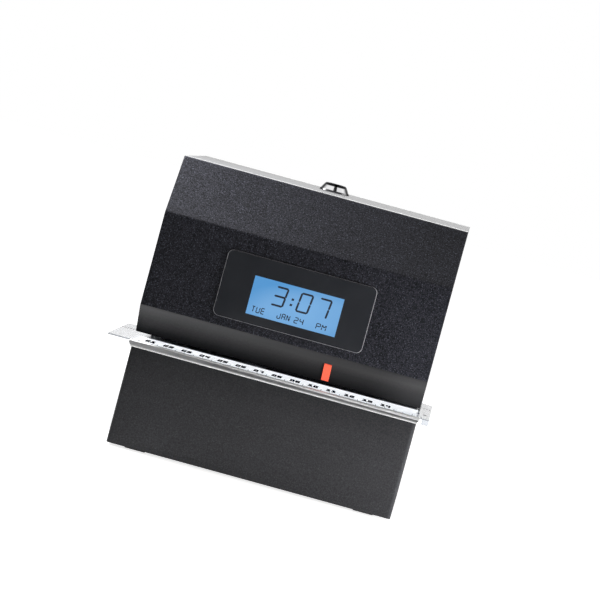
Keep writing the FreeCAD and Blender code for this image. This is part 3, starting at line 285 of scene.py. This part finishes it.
def crest_coat():
    """Smooth coat of the cover's top, glossiest along its front fold."""
    look = powder_coat("crest_coat", (0.004, 0.004, 0.005), (0.018, 0.018, 0.024), (0.05, 0.05, 0.06),
                       spec=0.3, rough=(0.2, 0.34), grain=0.002)
    low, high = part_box("cover_wrap")
    vertices = NODES["cover_wrap"].data.vertices
    fold = min(v.co.y for v in vertices if v.co.z > high.z - TOUCH)
    look.rough(look.span(look.axis("Y"), fold + 9 * MM, fold + 20 * MM, 0.12, 0.4))
    return look


def front_coat():
    """The base's coat on its front wall, with painted shade: darker up under the bar, where the bar's
    shadow falls.
    """
    look = powder_coat("front_coat", (0.026, 0.026, 0.028), (0.044, 0.044, 0.048), (0.061, 0.061, 0.065),
                       spec=0.2, rough=(0.42, 0.55), grain=0.015)
    low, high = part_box("base_shell")
    coat = look.bsdf.inputs["Base Color"].links[0].from_socket
    level = look.span(look.axis("Z"), low.z, high.z, smooth=False)
    # painted shade: the colour darkens towards the top of the wall, under the bar
    shade = look.ramp(level, [(0.0, grey(1.0)), (0.6, grey(0.81)), (1.0, grey(0.48))])
    look.color(look.mix(1.0, coat, shade, "MULTIPLY"))
    return look


# ---- materials of single parts -----------------------------------
def display_glow():
    """Backlit blue field, brightest in its middle and dullest in its upper left corner."""
    low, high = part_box("lcd_glass")
    middle = (low + high) / 2
    look = Look("display_blue", spec=0.4, Base_Color=(0.0, 0.002, 0.012))
    x = look.math("DIVIDE", look.math("SUBTRACT", look.axis("X"), middle.x), (high.x - low.x) / 2)
    z = look.math("DIVIDE", look.math("SUBTRACT", look.axis("Z"), middle.z), (high.z - low.z) / 2)
    edge = look.math("ADD", look.math("POWER", look.math("ABSOLUTE", x), 2.4),
                     look.math("POWER", look.math("ABSOLUTE", z), 2.4))
    corner = look.math("MAXIMUM", look.math("SUBTRACT", z, x), 0.0)
    fall = look.math("MULTIPLY", look.math("ADD", edge, look.math("MULTIPLY", corner, 1.6)), 0.34)
    field = look.ramp(fall, [(0.0, srgb(124, 176, 224)), (0.35, srgb(117, 170, 219)),
                             (1.0, srgb(88, 152, 208))])
    cloud = look.noise(90.0, 2.0)
    look.glow(look.mix(look.spread(cloud, 0.0, 0.12), field, srgb(84, 146, 200)), 1.0)
    look.rough(look.spread(cloud, 0.1, 0.16))
    return look


def window_gloss():
    """Polished black window, with faint haze."""
    look = Look("window_gloss", spec=0.45)
    haze = look.noise(45.0, 4.0)
    look.color(look.ramp(haze, [(0.3, (0.023, 0.0245, 0.0285)), (0.8, (0.028, 0.0298, 0.034))]))
    look.rough(look.spread(haze, 0.05, 0.11))
    return look


def clear_guide():
    """Clear ruled plate with faint handling haze; its emission is painted light: a glow under the head, out
    to its front edge, stands in for the slot lamp's light, and another glow lines the wings' front edges.
    """
    low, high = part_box("paper_guide")
    case_low, case_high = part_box("base_shell")
    look = Look("clear_guide", Transmission_Weight=0.84, IOR=1.49)
    x, y = look.axis("X"), look.axis("Y")
    inside = look.math("MULTIPLY", look.span(x, case_low.x - 2 * MM, case_low.x + 3 * MM),
                       look.span(x, case_high.x + 2 * MM, case_high.x - 3 * MM))
    outside = look.math("SUBTRACT", 1.0, inside)
    # the painted glow, in place of the lamp's light, ends 40 to 44 mm behind the front edge, a little
    # further back to the right
    reach = look.math("SUBTRACT", y, look.math("MULTIPLY", x, 0.07))
    lit = look.math("MULTIPLY", inside, look.span(reach, low.y + 44 * MM, low.y + 40 * MM))
    # painted glow along the front edges of the wings, outside the case
    edge = look.math("MULTIPLY", outside, look.span(y, low.y + 0.5 * MM, low.y + 0.2 * MM))
    cloud = look.noise(70.0, 3.0)
    scratch = look.noise(900.0, 3.0, stretch=(0.1, 1, 1))
    clear = look.ramp(cloud, [(0.25, (0.74, 0.76, 0.8)), (0.8, (0.86, 0.88, 0.91))])
    look.color(look.mix(outside, clear, (0.76, 0.76, 0.77), "MULTIPLY"))
    look.rough(look.spread(scratch, 0.11, 0.15))
    # colour of the painted glow
    light = look.ramp(cloud, [(0.25, (0.82, 0.89, 1.0)), (0.8, (0.94, 0.97, 1.0))])
    look.glow(light, look.math("ADD", look.math("MULTIPLY", lit, 0.2), look.math("MULTIPLY", edge, 0.3)))
    return look


def bright_bar():
    """Satin aluminium, darker on its face and lighter towards its left end, with painted highlights: near
    white along its bead and its upper edge.
    """
    low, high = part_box("front_bar")
    look = Look("bright_bar", metal=1.0)
    lines = look.noise(700.0, 4.0, stretch=(0.03, 1, 1))
    blotch = look.noise(160.0, 4.0, stretch=(0.5, 1, 1), roughness=0.7)
    x, z = look.axis("X"), look.axis("Z")
    # the painted highlight on the upper edge is 0.3 mm high at the left end and 1.5 mm at the right end
    slanted = look.math("ADD", z, look.span(x, low.x, high.x, 0.0, 1.2 * MM, smooth=False))
    bead = look.span(z, low.z + 1.5 * MM, low.z + 0.6 * MM)
    crown = look.span(slanted, high.z - 0.4 * MM, high.z - 0.2 * MM)
    tone = look.math("ADD", look.math("MULTIPLY", lines, 0.4), look.math("MULTIPLY", blotch, 0.6))
    face = look.ramp(tone, [(0.36, (0.13, 0.13, 0.135)), (0.64, (0.42, 0.42, 0.43))])
    # lighter towards the left end
    lighter_left = look.span(x, low.x + 52 * MM, low.x + 3 * MM, 0.0, 0.7)
    face = look.mix(lighter_left, face, (0.72, 0.72, 0.73))
    # painted highlights: the bead and the upper edge are coloured near white
    look.color(look.mix(look.math("MAXIMUM", bead, crown), face, grey(0.96)))
    rough = look.math("SUBTRACT", look.spread(lines, 0.3, 0.44), look.math("MULTIPLY", bead, 0.14))
    look.rough(look.math("ADD", rough, look.math("MULTIPLY", crown, 0.35)))
    look.bump(lines, 0.004)
    return look


def orange_mark():
    """Fluorescent orange pointer, which gives back a little more light than falls on it."""
    look = grained("mark_orange", srgb(240, 84, 56), srgb(250, 104, 76), (0.38, 0.5), spec=0.3,
                   scale=1800.0, bump=0.01)
    look.glow(look.ramp(look.noise(300.0), [(0.3, srgb(238, 92, 68)), (0.7, srgb(246, 108, 86))]), 0.24)
    return look


def polished_chrome():
    """Chrome, with painted dark reflections: dark on its crown and towards its outline, as chrome is beside
    a bright background.
    """
    look = Look("lock_chrome", metal=1.0)
    haze = look.noise(300.0, 3.0)
    low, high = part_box("lock_body")
    facing = look.node("ShaderNodeLayerWeight", Blend=0.5).outputs["Facing"]
    crown = look.span(look.axis("Z"), high.z - 1.7 * MM, high.z - 1.3 * MM)
    # painted reflection: the colour goes dark towards the outline and on the crown
    shade = look.math("MAXIMUM", look.span(facing, 0.3, 0.52), crown)
    bright = look.ramp(haze, [(0.3, (0.74, 0.74, 0.75)), (0.7, grey(0.86))])
    look.color(look.mix(shade, bright, (0.012, 0.012, 0.013)))
    look.rough(look.spread(haze, 0.05, 0.1))
    look.bump(haze, 0.001)
    return look


def lamp_diode():
    """Lit face of the slot lamp's diodes."""
    look = Look("lamp_diode", rough=0.3)
    look.color(look.ramp(look.noise(400.0), [(0.3, (0.85, 0.87, 0.9)), (0.7, (0.95, 0.96, 1.0))]))
    look.glow(look.ramp(look.noise(300.0), [(0.3, (0.8, 0.88, 1.0)), (0.7, (0.95, 0.98, 1.0))]), 2.0)
    return look


# ---- dressing of the nodes ---------------------------------------
LOOKS = {
    "case_coat": powder_coat("case_coat", (0.002, 0.002, 0.003), (0.023, 0.0235, 0.03),
                             (0.073, 0.076, 0.098), spec=0.2, rough=(0.36, 0.52), grain=0.03),
    "base_coat": powder_coat("base_coat", (0.02, 0.02, 0.0215), (0.034, 0.034, 0.037),
                             (0.047, 0.047, 0.05), spec=0.2, rough=(0.42, 0.55), grain=0.015),
    "zinc_steel": zinc_sheet(),
    "ground_steel": brushed("ground_steel", (0.52, 0.53, 0.54), grey(0.74), (0.14, 0.26),
                            stretch=(0.05, 1, 1)),
    "screw_steel": grained("screw_steel", (0.2, 0.2, 0.21), (0.36, 0.36, 0.37), (0.3, 0.45), metal=1.0),
    "bright_bar": bright_bar(),
    "table_steel": brushed("table_steel", (0.6, 0.61, 0.62), (0.8, 0.8, 0.81), (0.24, 0.4),
                           stretch=(1, 0.04, 1)),
    "clear_sheet": clear_guide(),
    "rubber": grained("rubber", grey(0.012), grey(0.03), (0.7, 0.9), spec=0.3, scale=1400.0, bump=0.05),
    "window": window_gloss(),
    "display": display_glow(),
    "mark": orange_mark(),
    "lock_chrome": polished_chrome(),
    "brass": grained("brass", (0.56, 0.4, 0.16), (0.8, 0.62, 0.3), (0.22, 0.38), metal=1.0, bump=0.004),
    "board": circuit_board(),
    "black_plastic": grained("black_plastic", (0.016, 0.016, 0.017), (0.034, 0.034, 0.036), (0.42, 0.6),
                             scale=2200.0),
    "grey_plastic": grained("grey_plastic", (0.2, 0.21, 0.23), (0.33, 0.34, 0.36), (0.4, 0.55),
                            scale=2200.0),
    "white_plastic": grained("white_plastic", (0.66, 0.66, 0.62), (0.82, 0.82, 0.79), (0.36, 0.5),
                             scale=2000.0, bump=0.01),
    "head_metal": grained("head_metal", (0.1, 0.1, 0.105), (0.2, 0.2, 0.21), (0.34, 0.48), metal=1.0,
                          scale=1200.0, bump=0.01),
    "ribbon": grained("ribbon", (0.016, 0.008, 0.03), (0.05, 0.03, 0.08), (0.75, 0.95), spec=0.2,
                      scale=700.0, stretch=(1, 4, 1), bump=0.05),
    "coil": grained("coil_frame", (0.4, 0.4, 0.41), (0.62, 0.62, 0.63), (0.28, 0.42), metal=1.0),
}
BASE_COATED = ("base_shell", "bottom_plate", "rear_panel")


def dress_nodes():
    """Gives each node the material of its slot in the record; the base's panels have a paler coat."""
    slots = {subpart["node"]: subpart["material_slot"] for subpart in frame["record"]["subparts"]}
    for name, node in NODES.items():
        key = "base_coat" if name in BASE_COATED else slots[name]
        node.data.materials.clear()
        node.data.materials.append(LOOKS[key].mat)


def repaint(node_name, look, test):
    """Gives another material to the faces of a node whose centre and normal pass the test."""
    mesh = NODES[node_name].data
    mesh.materials.append(look.mat)
    index = len(mesh.materials) - 1
    for face in mesh.polygons:
        if test(face.center, face.normal):
            face.material_index = index


def within(low, high):
    """Test for faces whose centre lies in a box given in millimetres."""
    return lambda c, n: all(a * MM <= v <= b * MM for a, v, b in zip(low, c, high))


def repaint_case():
    """Coats of the base's front wall, and of the cover's lower facet and top; the first two carry painted
    shading in their colour.
    """
    low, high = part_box("cover_wrap")
    facet_painted_shading = satin_coat_painted_shading()
    crest = crest_coat()

    def faces_front(c, n):
        return n.y < -0.5

    def is_lower_facet(c, n):
        return n.y < -0.2 and n.z < -0.2 and c.z < low.z + FACET_HEIGHT + MM

    def is_top(c, n):
        return n.z > 0.99 and c.z > high.z - TOUCH

    repaint("base_shell", front_coat(), faces_front)
    repaint("cover_wrap", facet_painted_shading, is_lower_facet)
    repaint("cover_wrap", crest, is_top)


# boxes round small parts, in millimetres
CAPACITORS = ((-43, 6, 13), (2, 20, 30))
HEAT_SINK = ((27, 26, 13), (48, 39.2, 34))
HEADERS = (((13, 6, 13), (38, 15, 22)), ((13, 58, 13), (38, 65, 22)))
DIODES = ((-70, -70, 60), (80, -60, 63.9))
WINDING = ((15, -35.8, 24.5), (38.2, -14.4, 47.5))
# the battery cell's middle, and a radius and a height that hold it but not its holder
CELL_X, CELL_Y, CELL_RADIUS, CELL_LEVEL = -34.3 * MM, 44.9 * MM, 10.1 * MM, 16.7 * MM


def repaint_parts():
    """Small parts that share a node with what carries them."""
    sleeve = grained("capacitor_sleeve", (0.01, 0.02, 0.06), (0.02, 0.035, 0.1), (0.28, 0.4), scale=400.0)
    copper = brushed("copper_winding", (0.35, 0.12, 0.04), (0.62, 0.26, 0.1), (0.3, 0.42),
                     stretch=(0.05, 0.05, 5), scale=900.0, bump=0.05)
    diode = lamp_diode()

    cans_right, cans_back, _ = CAPACITORS[1]

    def is_can_top(c, n):
        return c.x < cans_right * MM and c.y < cans_back * MM and n.z > 0.9

    def is_cell(c, n):
        return c.z > CELL_LEVEL and math.hypot(c.x - CELL_X, c.y - CELL_Y) < CELL_RADIUS

    repaint("board_parts", sleeve, within(*CAPACITORS))
    repaint("board_parts", LOOKS["screw_steel"], is_can_top)
    repaint("board_parts", LOOKS["table_steel"], within(*HEAT_SINK))
    repaint("board_parts", LOOKS["ground_steel"], is_cell)
    for header in HEADERS:
        repaint("board_parts", LOOKS["white_plastic"], within(*header))
    repaint("slot_lamp", diode, within(*DIODES))
    repaint("lift_solenoid", copper, within(*WINDING))


dress_nodes()
repaint_case()
repaint_parts()


# ---- mesh helpers ------------------------------------------------
def new_object(name, data):
    """Object in the scene that carries the data."""
    obj = bpy.data.objects.new(name, data)
    bpy.context.scene.collection.objects.link(obj)
    return obj


def piece(name, bm, look, body, smooth=False):
    """Finishes a mesh piece: material, shading and the body that it rides on."""
    mesh = bpy.data.meshes.new(name)
    bmesh.ops.remove_doubles(bm, verts=bm.verts, dist=1e-7)
    bmesh.ops.recalc_face_normals(bm, faces=bm.faces)
    bm.to_mesh(mesh)
    bm.free()
    obj = new_object(name, mesh)
    mesh.materials.append(look.mat)
    for face in mesh.polygons:
        face.use_smooth = smooth
    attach(obj, body)
    return obj


def band(bm, one, two):
    """Faces between two closed rings of as many vertices."""
    for i in range(len(one)):
        j = (i + 1) % len(one)
        bm.faces.new((one[i], two[i], two[j], one[j]))


def plate(bm, outline, place, thick):
    """Extruded outline of (u, v) points; place(u, v, w) gives a point in metres."""
    bottom = [bm.verts.new(place(u, v, 0.0)) for u, v in outline]
    top = [bm.verts.new(place(u, v, thick)) for u, v in outline]
    bm.faces.new(bottom)
    bm.faces.new(list(reversed(top)))
    band(bm, bottom, top)


def case_middle():
    """The case's middle line, on x."""
    low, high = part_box("base_shell")
    return (low.x + high.x) / 2


# ---- display -----------------------------------------------------
# ends of each bar on a character of width and height 1; the last five are the middle and slanted bars
SEGMENTS = {
    "a": ((0, 1), (1, 1)), "b": ((1, 1), (1, 0.5)), "c": ((1, 0.5), (1, 0)), "d": ((0, 0), (1, 0)),
    "e": ((0, 0.5), (0, 0)), "f": ((0, 1), (0, 0.5)), "g": ((0, 0.5), (1, 0.5)),
    "h": ((0.5, 1), (0.5, 0.5)), "i": ((0.5, 0.5), (0.5, 0)),
    "j": ((0.06, 0.95), (0.5, 0.5)), "k": ((0.94, 0.95), (0.5, 0.5)), "l": ((0.5, 0.5), (0.94, 0.05)),
}
GLYPHS = {
    "0": "abcdef", "1": "bc", "2": "abdeg", "3": "abcdg", "4": "bcfg",
    "5": "acdfg", "6": "acdefg", "7": "abc", "8": "abcdefg", "9": "abcdfg",
    "A": "abcefg", "E": "adefg", "J": "bcde", "M": "bcefjk", "N": "bcefjl",
    "P": "abefg", "T": "ahi", "U": "bcdef",
}
# places on the display in millimetres: x from the case's middle line, z above the desk
TIME_DIGITS = (("3", -12.4), ("0", 1.2), ("7", 11.4))
TIME_LEVEL, TIME_WIDTH, TIME_HEIGHT, TIME_STROKE = 96.5, 7.1, 10.9, 1.05
TIME_SLANT = math.tan(math.radians(6.5))
COLON_DOTS = ((-1.2, 102.3), (-1.5, 99.3))
DOT_OUTLINE = ((-0.7, -0.6), (0.6, -0.6), (0.75, 0.6), (-0.55, 0.6))
# text, left edge, pitch and width of a character
DATE_WORDS = (("TUE", -21.4, 2.6, 2.15), ("JAN", -7.3, 2.55, 2.05), ("24", 2.1, 2.9, 2.3),
              ("PM", 14.1, 3.1, 2.6))
DATE_LEVEL, DATE_HEIGHT, DATE_STROKE, DATE_SLANT = 90.4, 3.4, 0.5, 0.05
SEGMENT_THICK, SEGMENT_LIFT = 0.03, 0.01


def segment_glyph(bm, letter, x, z, width, height, stroke, slant, face):
    """Character of bars with pointed ends; x and z are its lower left corner in millimetres."""
    overlap = 0.08 * stroke

    def spot(u, v):
        a = x + stroke / 2 + u * (width - stroke)
        b = z + stroke / 2 + v * (height - stroke)
        return Vector((a + slant * (b - z), b))

    for key in GLYPHS[letter]:
        start, end = (spot(*p) for p in SEGMENTS[key])
        along = (end - start).normalized()
        across = Vector((-along.y, along.x)) * stroke / 2
        tip = along * stroke / 2
        start = start - along * overlap
        end = end + along * overlap
        outline = [start, start + tip - across, end - tip - across,
                   end, end - tip + across, start + tip + across]
        plate(bm, [(p.x, p.y) for p in outline], face, SEGMENT_THICK)


def display_piece():
    """Time, day and date on the display's glass."""
    low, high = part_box("lcd_glass")
    middle = case_middle()

    def face(u, v, w):
        return Vector((middle + u * MM, low.y - (SEGMENT_LIFT + w) * MM, v * MM))

    bm = bmesh.new()
    for digit, x in TIME_DIGITS:
        segment_glyph(bm, digit, x, TIME_LEVEL, TIME_WIDTH, TIME_HEIGHT, TIME_STROKE, TIME_SLANT, face)
    for x, z in COLON_DOTS:
        plate(bm, [(x + u, z + v) for u, v in DOT_OUTLINE], face, SEGMENT_THICK)
    for text, x, pitch, width in DATE_WORDS:
        for i, letter in enumerate(text):
            segment_glyph(bm, letter, x + i * pitch, DATE_LEVEL, width, DATE_HEIGHT, DATE_STROKE,
                          DATE_SLANT, face)
    ink = grained("display_ink", srgb(38, 42, 54), srgb(52, 58, 70), (0.3, 0.4), spec=0.3)
    piece("display_segments", bm, ink, "cover")


# ---- window rim --------------------------------------------------
RIM_CORNER = 3.0 * MM
# the bead's section: millimetres out from the window's edge, and in front of the cover's facet
RIM_SECTION = ((0.0, 0.0), (0.0, 0.62), (0.06, 0.72), (0.13, 0.74), (0.2, 0.68), (0.24, 0.55), (0.24, 0.0))
RIM_STEPS = 8


def rim_look(middle, half_x, half_z):
    """Grey bead, with painted glints that make it lighter at its sides and, less so, along its bottom."""
    look = Look("window_rim", spec=0.6)
    grain = look.noise(600.0, 3.0)
    off_middle = look.math("ABSOLUTE", look.math("SUBTRACT", look.axis("X"), middle.x))
    side = look.span(off_middle, half_x - RIM_CORNER, half_x - 0.2 * MM)
    bottom = look.span(look.axis("Z"), middle.z + half_z - RIM_CORNER, middle.z - half_z + RIM_CORNER)
    # painted glints: lighter at the sides and, less so, along the bottom
    level = look.math("MAXIMUM", side, look.math("MULTIPLY", bottom, 0.55))
    light = look.ramp(grain, [(0.3, srgb(146, 146, 150)), (0.7, srgb(176, 176, 180))])
    look.color(look.mix(level, srgb(78, 78, 82), light))
    look.rough(look.spread(grain, 0.24, 0.4))
    return look


def rim_piece():
    """Thin bead round the window."""
    low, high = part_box("window_lens")
    middle = (low + high) / 2
    half_x = (high.x - low.x) / 2
    half_z = (high.z - low.z) / 2
    bm = bmesh.new()
    rings = []
    for out, lift in RIM_SECTION:
        ring = []
        radius = RIM_CORNER + out * MM
        for quarter, (side_x, side_z) in enumerate(((1, 1), (-1, 1), (-1, -1), (1, -1))):
            x = middle.x + side_x * (half_x - RIM_CORNER)
            z = middle.z + side_z * (half_z - RIM_CORNER)
            for step in range(RIM_STEPS + 1):
                a = math.pi / 2 * (quarter + step / RIM_STEPS)
                ring.append(bm.verts.new((x + radius * math.cos(a), high.y - lift * MM,
                                          z + radius * math.sin(a))))
        rings.append(ring)
    for inner, outer in zip(rings, rings[1:]):
        band(bm, inner, outer)
    piece("window_rim", bm, rim_look(middle, half_x, half_z), "cover")


# ---- ruler -------------------------------------------------------
# places on the guide in millimetres: x from the case's middle line, y back from the guide's front edge
NUMBER_PITCH = 10.1
NUMBER_COUNT = 14
FIRST_NUMBER = -70.7
DIGIT_SHIFT, DIGIT_PITCH = -2.7, 2.95
DIGIT_NEAR, DIGIT_MIDDLE, DIGIT_FAR = 8.4, 16.1, 23.8
DIGIT_WIDE, DIGIT_THICK, DIGIT_DEEP, DIGIT_HALF_BAR = 2.5, 1.1, 5.2, 2.0
FIRST_TICK = -75.75
TICK_STEPS = range(-1, 32)
TICK_HALF, TICK_FRONT = 0.18, 0.4
TICK_SHORT, TICK_LONG = 3.5, 7.5    # where short and long ticks end
BLOCKS = (78.6, 82.3)
BLOCK_HALF, BLOCK_FRONT, BLOCK_BACK = 0.9, 23.0, 27.0
END_SCALES = ((-92.4, -84.6), (80.8, 84.0))
END_FRONT, END_BACK, END_LINE, END_PITCH, END_MARK = 66.0, 72.0, 0.5, 1.6, 0.3
PRINT_LIFT = 0.015 * MM


def stripe(bm, place, x0, x1, y0, y1):
    """Printed bar; place(x, y) gives a point in metres."""
    corners = ((x0, y0), (x1, y0), (x1, y1), (x0, y1))
    bm.faces.new([bm.verts.new(place(x, y)) for x, y in corners])


def tall_digit(bm, place, digit, x):
    """Numeral drawn long, so that it reads from the front, as on a road; x is its left edge."""
    near, half, far = DIGIT_NEAR, DIGIT_MIDDLE, DIGIT_FAR
    right = x + DIGIT_WIDE
    bars = {
        "a": (x, right, far - DIGIT_DEEP, far),
        "b": (right - DIGIT_THICK, right, half, far),
        "c": (right - DIGIT_THICK, right, near, half),
        "d": (x, right, near, near + DIGIT_DEEP),
        "e": (x, x + DIGIT_THICK, near, half),
        "f": (x, x + DIGIT_THICK, half, far),
        "g": (x, right, half - DIGIT_HALF_BAR, half + DIGIT_HALF_BAR),
    }
    if digit == "1":
        stripe(bm, place, x + 0.6, x + 2.0, near, far)
        stripe(bm, place, x, x + 1.2, far - DIGIT_DEEP, far)
        stripe(bm, place, *bars["d"])
    else:
        for key in GLYPHS[digit]:
            stripe(bm, place, *bars[key])


def ruler_piece():
    """Centimetre numbers and ticks printed on the guide."""
    low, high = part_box("paper_guide")
    middle = case_middle()

    def place(x, y):
        return Vector((middle + x * MM, low.y + y * MM, high.z + PRINT_LIFT))

    bm = bmesh.new()
    for i in range(NUMBER_COUNT):
        x = FIRST_NUMBER + NUMBER_PITCH * i
        for k, digit in enumerate("%02d" % (i + 1)):
            tall_digit(bm, place, digit, x + DIGIT_SHIFT + DIGIT_PITCH * k)
    for i in TICK_STEPS:
        x = FIRST_TICK + NUMBER_PITCH / 2 * i
        length = TICK_LONG if i % 2 == 0 else TICK_SHORT
        stripe(bm, place, x - TICK_HALF, x + TICK_HALF, TICK_FRONT, length)
    for x in BLOCKS:
        stripe(bm, place, x - BLOCK_HALF, x + BLOCK_HALF, BLOCK_FRONT, BLOCK_BACK)
    for x0, x1 in END_SCALES:
        stripe(bm, place, x0, x1, END_BACK, END_BACK + END_LINE)
        for i in range(int((x1 - x0) / END_PITCH) + 1):
            x = x0 + END_PITCH * i
            stripe(bm, place, x, x + END_MARK, END_FRONT, END_BACK)
    ink = grained("ruler_ink", srgb(4, 6, 26), srgb(12, 14, 40), (0.9, 0.97), spec=0.0, scale=800.0)
    piece("ruler_print", bm, ink, "guide")


# ---- return spring -----------------------------------------------
def spring_piece():
    """Round wire coil with closed ends, in place of the plain one."""
    low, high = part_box("platen_spring")
    middle = (low + high) / 2
    wire = 0.42 * MM
    radius = (high.x - low.x) / 2 - wire
    turns = 4.5
    closed = 0.75    # turns that lie flat at each end
    sway = 0.12 * wire
    steps = 150
    sides = 10
    bm = bmesh.new()
    rings = []
    for i in range(steps + 1):
        t = i / steps
        level = min(1.0, max(0.0, (t * turns - closed) / (turns - 2 * closed)))
        z = low.z + wire + (high.z - low.z - 2 * wire) * level + sway * math.sin(t * 6)
        a = 2 * math.pi * turns * t
        out = Vector((math.cos(a), math.sin(a), 0))
        centre = Vector((middle.x, middle.y, z)) + radius * out
        ring = []
        for k in range(sides):
            b = 2 * math.pi * k / sides
            ring.append(bm.verts.new(centre + wire * (math.cos(b) * out + Vector((0, 0, math.sin(b))))))
        rings.append(ring)
    for one, two in zip(rings, rings[1:]):
        band(bm, two, one)
    bm.faces.new(list(reversed(rings[0])))
    bm.faces.new(rings[-1])
    obj = piece("return_spring", bm, LOOKS["ground_steel"], "base", smooth=True)
    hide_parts("platen_spring")
    # the spring's upper seat stays at 22 mm, and at full lift 31 % of its length is left
    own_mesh(obj)


display_piece()
rim_piece()
ruler_piece()
spring_piece()


# ---- floor, cards and world --------------------------------------
def card_corners(one, other):
    """Corners of a level or upright card between two opposite corners, in metres."""
    (x0, y0, z0), (x1, y1, z1) = one, other
    if z0 == z1:
        return [(x0, y0, z0), (x1, y0, z0), (x1, y1, z0), (x0, y1, z0)]
    return [(x0, y0, z0), (x1, y1, z0), (x1, y1, z1), (x0, y0, z1)]


def card_object(name, cards, look):
    """Object of flat cards, each given by two opposite corners."""
    points = [point for one, other in cards for point in card_corners(one, other)]
    faces = [tuple(range(first, first + 4)) for first in range(0, len(points), 4)]
    mesh = bpy.data.meshes.new(name)
    mesh.from_pydata(points, [], faces)
    mesh.materials.append(look.mat)
    return new_object(name, mesh)


def floor_look():
    """White floor that takes the machine's shadow, and glows for the rays that show it."""
    look = Look("floor_white")
    look.tree.nodes.remove(look.bsdf)
    matt = look.node("ShaderNodeBsdfDiffuse", Color=grey(0.82))
    camera_ray = look.node("ShaderNodeLightPath").outputs["Is Camera Ray"]
    strength = look.math("MULTIPLY_ADD", camera_ray, 0.5, look.math("MULTIPLY", look.seen_ray(), 0.3))
    seen = look.node("ShaderNodeEmission", Strength=strength)
    both = look.node("ShaderNodeAddShader")
    look.feed(both.inputs[0], matt.outputs[0])
    look.feed(both.inputs[1], seen.outputs[0])
    look.feed(look.tree.nodes["Material Output"].inputs["Surface"], both.outputs[0])
    return look


def add_floor():
    """Plain pale floor."""
    floor = card_object("floor", [((-4, -1.25, 0), (4, 6, 0))], floor_look())


def add_dark_cards():
    """Dark cards round the camera keep the window black and the chrome crisp, as in a studio."""
    look = Look("card_black", rough=0.9, spec=0.1)
    look.color(look.ramp(look.noise(4.0), [(0.3, grey(0.02)), (0.7, grey(0.03))]))
    behind = ((-3, -2.6, -1.6), (3, -2.6, 1.7))
    left = ((-1.6, -2.6, -0.1), (-1.6, -0.7, 0.9))
    right = ((1.6, -2.6, -0.1), (1.6, -0.7, 0.9))
    above_front = ((-0.16, -1.15, 1.4), (0.3, -0.5, 1.4))
    above_machine = ((-0.4, 0.02, 1.4), (0.5, 0.4, 1.4))
    card = card_object("dark_cards", [behind, left, right, above_front, above_machine], look)
    card.visible_camera = False
    card.visible_diffuse = False
    card.visible_shadow = False


def add_world():
    """World that is white where it is seen, and gives a soft, even light."""
    world = bpy.data.worlds.new("studio")
    bpy.context.scene.world = world
    world.use_nodes = True
    nodes = NodeTree(world.node_tree)
    back = nodes.tree.nodes["Background"]
    nodes.feed(back.inputs["Color"], grey(1.0))
    nodes.feed(back.inputs["Strength"], nodes.span(nodes.seen_ray(), 0.0, 1.0, 0.36, 1.0, smooth=False))


# ---- lamps and camera --------------------------------------------
def area_lamp(name, place, aim, width, height, power):
    """Soft rectangular lamp that points at a spot."""
    data = bpy.data.lights.new(name, "AREA")
    data.shape = "RECTANGLE"
    data.size = width
    data.size_y = height
    data.energy = power
    lamp = new_object(name, data)
    lamp.location = place
    lamp.rotation_euler = (Vector(aim) - Vector(place)).to_track_quat("-Z", "Y").to_euler()
    lamp.visible_camera = False
    return lamp


def add_lamps():
    """Key lamp over the left side, fill low at the right, a strip behind, and the lamp in the slot."""
    key = area_lamp("key", place=(-0.26, -0.02, 0.28), aim=(-0.09, -0.05, 0.16),
                    width=0.09, height=0.09, power=0.4)
    key.data.spread = math.radians(45)
    # the fill's centre is level with the floor, which cuts off its lower half
    fill = area_lamp("fill", place=(0.3, -0.17, 0.0), aim=(0.05, -0.07, 0.03),
                     width=0.1, height=0.1, power=3.0)
    fill.visible_glossy = False
    area_lamp("rim", place=(0.0, 0.9, 0.4), aim=(0.0, 0.0, 0.18), width=1.3, height=0.35, power=2.0)
    low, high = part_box("paper_table")
    slot = Vector(((low.x + high.x) / 2, low.y + 45.5 * MM, high.z + 3.0 * MM))
    forwards = Vector((3.0, -43.0, -1.0)) * MM
    area_lamp("slot_glow", place=slot, aim=slot + forwards, width=0.157, height=0.004, power=0.0017)


def add_camera():
    """The photograph's camera: a long lens, rolled as the machine leans in the picture."""
    eye = Vector((0.0857, -1.91065, 0.2005))
    aim = Vector((0.0062, -0.08515, 0.1031))
    roll = math.radians(15.1)
    data = bpy.data.cameras.new("camera")
    data.lens = 207.0
    data.sensor_width = 36.0
    data.clip_end = 50.0
    camera = new_object("camera", data)
    forward = (aim - eye).normalized()
    right = forward.cross(Vector((0, 0, 1))).normalized()
    up = right.cross(forward)
    side = right * math.cos(roll) + up * math.sin(roll)
    head = up * math.cos(roll) - right * math.sin(roll)
    turn = Matrix((side, head, -forward)).transposed()
    camera.matrix_world = Matrix.Translation(eye) @ turn.to_4x4()
    bpy.context.scene.camera = camera


add_floor()
add_dark_cards()
add_world()
add_lamps()
add_camera()
bpy.context.scene.view_settings.view_transform = "Standard"
